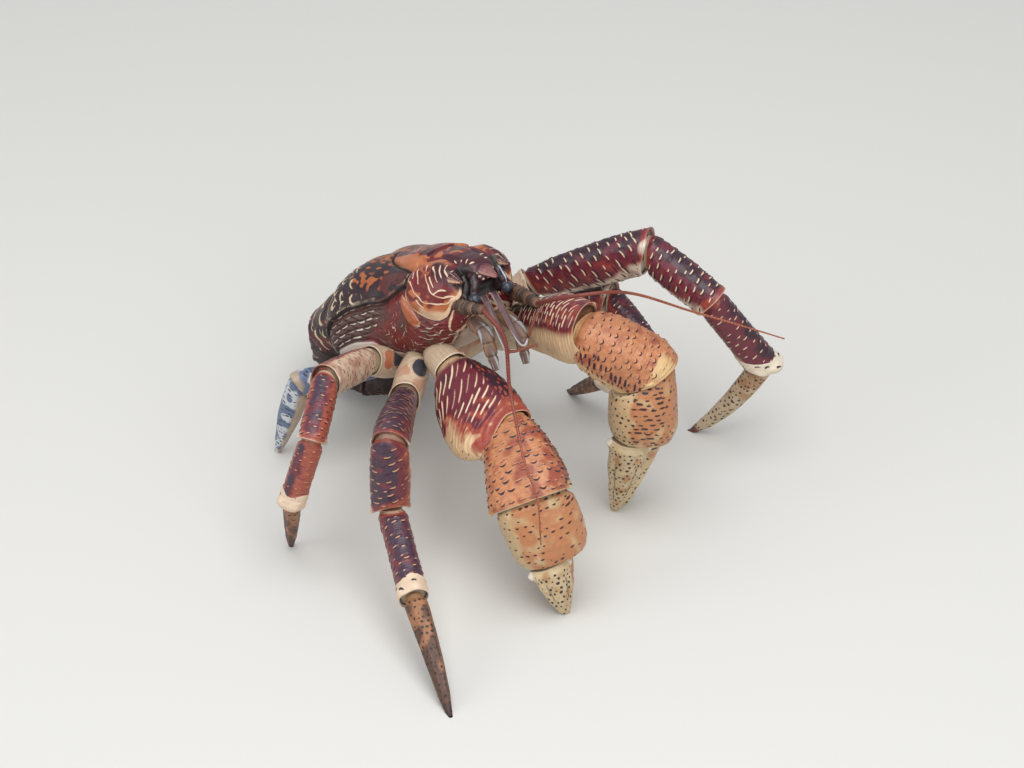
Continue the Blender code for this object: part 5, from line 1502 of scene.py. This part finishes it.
def abdomen_point(at, angle, lift):
    rows = np.array([np.interp(at, ABDOMEN[:, 0], ABDOMEN[:, k]) for k in range(1, 6)])
    lean = np.radians(rows[4])
    across, away = oval(angle, rows[2] + lift, rows[3] + lift, 2.2)
    return from_model(np.stack((rows[0] - np.sin(lean) * away, across, rows[1] + np.cos(lean) * away), -1))


for k in range(6):
    name = "tail" if k == 5 else "abdomen_%d" % (k + 1)
    tube, angle, v = fine_tube(220, 64)
    place = abdomen_point(k + v, angle, 0 * v)
    patch = blotch(place, 90, 9.0)
    back = degrees_between(angle, -20, 200, 50)
    arcs, arc_line = crescents(angle * 34 + 2 * np.sin(v * 9), v * 26 + 3 * (patch - 0.5), 17.0, 9.5,
                               50 + k, 0.7, 1.0, 0.14)
    grain, grain_line = crescents(angle * 34, v * 26, 2.6, 2.4, 60 + k, 0.35, 0.4)
    ends_in = soft(v, 0.02, 0.14) * (1 - soft(v, 0.93, 0.99))
    lift = (arcs * back + grain * (1 - back)) * ends_in
    lift += (0.9 * np.exp(-((v - 0.93) / 0.05) ** 2) - 1.2 * (1 - soft(v, 0.0, 0.10))
             - 1.2 * soft(v, 0.97, 1.0))
    # Painted shade lies at both ends of each ring, where the rings meet
    tones = {
        "light": arc_line * back * (1.3 if k < 2 else 0.5) * ends_in,
        "dark": grain_line * (1 - back) * 0.5,
        "warm": soft(patch, 0.62, 0.8) * 0.4 * back,
        "rim": back * np.exp(-((v - 0.95) / 0.02) ** 2) * 0.5,
        "hollow_shade": np.maximum(1 - soft(v, 0.0, 0.04), soft(v, 0.985, 1.0)) * 0.8,
        "mid": 0.8 * soft(patch, 0.5, 0.65),
    }
    finish_piece(name + "_shell", tube, abdomen_point(k + v, angle, lift), tones,
                 paints["rear" if k < 2 else "tail"], [name])
print("abdomen curled")

# %% [markdown]
# ## Eyes, feelers and mouth legs
#
# These follow bent lines instead of straight ones. A smooth curve is drawn through a few points,
# and a tube follows it without twisting. The eyes are dark stalks that hang down beside the beak
# and end in a glassy bulb. The second feelers are long whips on bristly brown bases. The first
# feelers hang in front as silvery blades and bend at an elbow. Pale mouth legs hang below.

# %% Follow a bent line with a tube
class Route:
    """A tube along a smooth line through a few points, with its radii spread evenly along it."""
    STEPS = 160

    def __init__(self, points, radii, flat):
        rows = [2 * points[0] - points[1], *points, 2 * points[-1] - points[-2]]
        spans = len(points) - 1
        self.centres = []
        for n in range(self.STEPS + 1):
            at = n * spans / self.STEPS
            k = min(int(at), spans - 1)
            f = at - k
            a, b, c, d = rows[k:k + 4]
            self.centres.append(0.5 * (2 * b + (c - a) * f + (2 * a - 5 * b + 4 * c - d) * f * f
                                       + (3 * b - a - 3 * c + d) * f ** 3))
        self.centres = np.array(self.centres)
        ways = np.gradient(self.centres, axis=0)
        ways /= np.linalg.norm(ways, axis=1, keepdims=True)
        up = UP
        self.ups = []
        for way in ways:
            up = up - way * (up @ way)
            up /= np.linalg.norm(up)
            self.ups.append(up)
        self.ups = np.array(self.ups)
        self.sides = np.cross(ways, self.ups)
        self.length = np.linalg.norm(np.diff(self.centres, axis=0), axis=1).sum() / MM
        self.radii = np.array([(k / (len(radii) - 1), r) for k, r in enumerate(radii)], float)
        self.flat = flat

    def surface(self, t, angle, lift=0.0):
        at = np.clip(t, 0, 1) * self.STEPS
        k = np.minimum(at.astype(int), self.STEPS - 1)
        f = (at - k)[:, None]
        centre = self.centres[k] * (1 - f) + self.centres[k + 1] * f
        side = self.sides[k] * (1 - f) + self.sides[k + 1] * f
        up = self.ups[k] * (1 - f) + self.ups[k + 1] * f
        radius = smooth_rows(self.radii, t)[:, 0]
        return centre + side * ((np.cos(angle) * radius + np.cos(angle) * lift) * MM)[:, None] \
            + up * ((np.sin(angle) * radius * self.flat + np.sin(angle) * lift) * MM)[:, None]


def route_shell(node, route, paint, shape, around, along):
    tube, angle, v = fine_tube(around, along)
    tones = {}
    lift = shape(tones, v, angle, v * route.length)
    finish_piece(node + "_shell", tube, route.surface(v, angle, lift), tones, paints[paint], [node])


print("routes ready")

# %% Shape the eyes
EYE_RADIUS = 4.7
for side, hand in (("right", -1), ("left", 1)):
    root, neck = from_body(66.0, hand * 10.0, 8.0), from_body(75.0, hand * 11.0, 6.0)
    end = from_body(77.0, -17.0 if side == "right" else 13.0, -7.0)

    def stalk_shape_with_highlight(tones, v, angle, at):
        # Painted highlight: a pale blue streak down one side of the stalk stands for its gloss
        tones["light"] = np.exp(-((np.sin(angle * 0.5 - hand * 0.9)) / 0.16) ** 2) * soft(v, 0.3, 0.6) * 0.9
        tones["rim"] = soft(v, 0.86, 0.93) * 0.35
        tones["warm"] = soft(np.sin(at * 1.3 + angle * 3), 0.4, 0.9)
        return 0.25 * np.sin(at * 0.9 + angle * 2) - 0.7 * np.exp(-((v - 0.9) / 0.05) ** 2)

    route_shell("eyestalk_" + side, Route([root, neck, end], (3.0, 3.4, 3.6, 3.6, 3.6, 3.6, 3.4), 0.85),
                "stalk", stalk_shape_with_highlight, 48, 70)
    way = (end - neck) / np.linalg.norm(end - neck)
    bulb, angle, v = fine_tube(56, 40)
    turn_in = v * math.pi
    radius = EYE_RADIUS * np.sin(turn_in)
    flat_up = np.cross(way, rightward) / np.linalg.norm(np.cross(way, rightward))
    flat_side = np.cross(way, flat_up)
    place = end + way * 2 * MM - way * (EYE_RADIUS * np.cos(turn_in) * MM)[:, None] \
        + flat_side * (radius * np.cos(angle) * MM)[:,
                                                    None] + flat_up * (radius * np.sin(angle) * 0.92
                                                                       * MM)[:, None]
    finish_piece("eye_%s_bulb" % side, bulb, place, {"warm": soft(v, 0.5, 0.9)}, paints["eye"],
                 ["eye_" + side])
print("eyes made")

# %% Shape the feelers and the mouth legs
BASE_SEAMS = (0.30, 0.52, 0.74)
MOUTH_LEG_SEAMS = (0.42, 0.66, 0.84)
BLADE_ELBOW = 0.62
TIP_SHARE = 0.06


def whip_shape(tones, v, angle, at):
    ring = 0.5 + 0.5 * np.sin(at * 2.6)
    tones["dark"] = 0.55 * (1 - ring)
    tones["warm"] = 0.3 + 0.4 * soft(v, 0.2, 0.8)
    return 0.12 * ring * (1 - 0.7 * v)


def bristly_shape(tones, v, angle, at):
    height, tip, front = scales(angle * 5, at, 2.6, 2.8, 71, 0.9)
    seams = sum(np.exp(-((v - place) / 0.018) ** 2) for place in BASE_SEAMS)
    tones["dark"], tones["light"] = front * 0.9, tip * 0.6
    tones["warm"] = 0.2 + 0.6 * soft(np.sin(v * 21), 0.0, 0.7)
    # Painted shade in the seams between the base joints
    tones["hollow_shade"] = seams * 0.8
    tones["rim"] = sum(np.exp(-((v - place + 0.03) / 0.012) ** 2) for place in BASE_SEAMS) * 0.45
    return height * (1 - seams.clip(0, 1)) - 0.7 * seams


def blade_shape(tones, v, angle, at):
    """A silvery blade with dark lengthwise streaks, then a brown bent tip."""
    blade = 1 - soft(v, 0.58, 0.66)
    edge = np.abs(np.cos(angle)) ** 3
    streak = 0.5 + 0.5 * np.sin(angle * 7 + 1.5 * np.sin(v * 11))
    tones["rim"] = blade * np.clip(edge * 0.9 + 0.35 * streak, 0, 1) * (0.75 + 0.25 * np.sin(v * 17))
    tones["mid"] = blade * (1 - edge) * 0.9
    tones["dark"] = blade * soft(streak, 0.8, 0.98) * (1 - edge)
    tones["warm"] = (1 - blade) * 0.5
    # Painted shade in the elbow's crease
    tones["hollow_shade"] = np.exp(-((v - BLADE_ELBOW) / 0.012) ** 2)
    return 0.4 * edge * blade - 0.5 * np.exp(-((v - BLADE_ELBOW) / 0.02) ** 2)


def mouth_leg_shape(tones, v, angle, at):
    """Dim brown grey joints with blue white patches, and painted shade in the seams."""
    seams = sum(np.exp(-((v - place) / 0.016) ** 2) for place in MOUTH_LEG_SEAMS)
    patch = 0.5 + 0.5 * np.sin(v * 13 + 2 * np.sin(angle * 2)) * np.cos(angle + 0.5)
    # Painted shade in the seams between the joints
    tones["hollow_shade"] = seams * 0.5
    tones["rim"] = 0.85 * soft(patch, 0.45, 0.9)
    tones["dark"] = soft(np.sin(angle * 3 + v * 12), 0.6, 0.9) * 0.35
    tones["warm"] = soft(1 - patch, 0.5, 0.8)
    near_tip = np.clip(1 - (1 - v) / TIP_SHARE, 0, 1)
    drawn_in = TIP_SHARE * (1 - np.sqrt(np.clip(1 - near_tip ** 2, 0, 1)))
    return 0.5 * np.sin(angle * 2 + v * 4) - 0.8 * seams - drawn_in


def points_of(rows):
    """Places along a feeler. A row that starts with body is in body axes."""
    return [from_body(*map(float, row[1:])) if row[0] == "body" else from_model(row) for row in rows]


FEELERS = {
    "antenna_base_right": ([("body", 64, -24, -10), ("body", 78, -26, -12.5), ("body", 91, -23, -16.5)],
                           (5.0, 5.2, 4.3, 3.2)),
    "antenna_base_left": ([("body", 56, 25, -10), (82, 19, 158), (110, 5, 173)], (5.5, 6, 4.6, 3.2)),
    "antenna_right": ([("body", 91.5, -22.9, -17), (113, -31, 161), (153, -64, 157), (173, -77, 145),
                       (198, -92, 128),
                       (215, -96, 107), (223, -100, 73)], (1.8, 1.4, 1.1, 0.8, 0.5)),
    "antenna_left": ([(110.7, 4.6, 173.4), (131, 0, 189), (152, 5, 201), (163, 27, 199), (166, 55, 184),
                      (181, 93, 159),
                      (205, 118, 147), (230, 141, 136)], (1.7, 1.4, 1.1, 0.8, 0.5)),
    "antennule_right": ([("body", 70, -5, -9), (77, -13, 163), (109, -26, 149), (117, -26, 149),
                         (131, -15, 157)],
                        (2.4, 2.2, 1.7, 1.6, 1.1)),
    "antennule_left": ([("body", 70, 5, -9), (79, -5, 164), (117, -18, 153), (121, -15, 158),
                        (124, -12, 173), (126, -6, 184)],
                       (2.4, 2.2, 1.7, 1.6, 1.1)),
    "maxilliped_right": ([("body", 57, -11, -24), (73, -20, 146), (87, -25, 148), (95, -28, 140),
                          (105, -31, 128)],
                         (6, 6, 5, 4.6, 2.4)),
    "maxilliped_left": ([("body", 57, 9, -25), (76, 6, 142), (92, 3, 141), (100, 0, 133), (108, -4, 122)],
                        (6, 6, 5, 4.6, 2.4)),
}
LOOKS = {"antenna_base": ("bristly", "small", bristly_shape, 56, 150),
         "antenna": ("feeler", "feeler", whip_shape, 12, 420),
         "antennule": ("blade", "small", blade_shape, 28, 160),
         "maxilliped": ("mouth", "small", mouth_leg_shape, 48, 140)}
for name, (rows, radii) in FEELERS.items():
    paint, slot_name, shape, around, along = LOOKS[name.rsplit("_", 1)[0]]
    flat = 0.7 if "antennule" in name else 1.0
    route_shell(name, Route(points_of(rows), radii, flat), paint, shape, around, along)
print(len(FEELERS), "feelers and mouth legs")

# %% [markdown]
# ## The beak and the corners of the sockets
#
# Between the eyes the head runs out in a short beak, purple pink with a pale edge. A small corner
# stands out on each side of the eye sockets.

# %% Shape the beak
def head_horn(name, rows, hand, paint):
    """A row is forward, sideways, up, half height and half width. A hand of 0 is the middle."""
    tube, angle, v = fine_tube(56, 70)
    rows = np.array(rows, float)
    at = rows[0, 0] + (rows[-1, 0] - rows[0, 0]) * v
    size = smooth_rows(rows, at)
    grain, _ = crescents(angle * 6, at, 3.0, 2.6, 81, 0.25, 0.5)
    across, up = oval(angle, size[:, 3] + grain, size[:, 2] + grain, 2)
    place = from_body(at, hand * size[:, 0] + across, size[:, 1] + up)
    edge = np.abs(np.cos(angle)) ** 6
    lines = np.exp(-((angle * 2.5 % 1.0 - 0.5) / 0.12) ** 2)
    # On the beak, the pinker tip is partly its own colour and partly a painted highlight
    tones = {"light": lines * (hand != 0) * 0.8 * soft(v, 0.3, 0.5),
             "warm": soft(v, 0.6, 0.95) * (hand == 0),
             "rim": edge * 0.62 * soft(v, 0.3, 0.6), "mid": 0.8 * (hand != 0) * (1 - edge)}
    finish_piece(name, tube, place, tones, paints[paint], ["head_shield"])


BEAK = ((50, 0, 20, 6, 13), (64, 0, 15, 6, 11), (76, 0, 9, 4.5, 6.5), (83, 0, 5, 2.5, 3.5),
        (87, 0, 2.5, 1.0, 1.2))
CORNER = ((52, 22, 15, 6, 6), (66, 23, 10, 5, 5), (75, 23, 6.5, 1.2, 1.2))
head_horn("beak", BEAK, 0, "beak")
head_horn("socket_corner_right", CORNER, -1, "head")
head_horn("socket_corner_left", CORNER, 1, "head")
print("beak made")
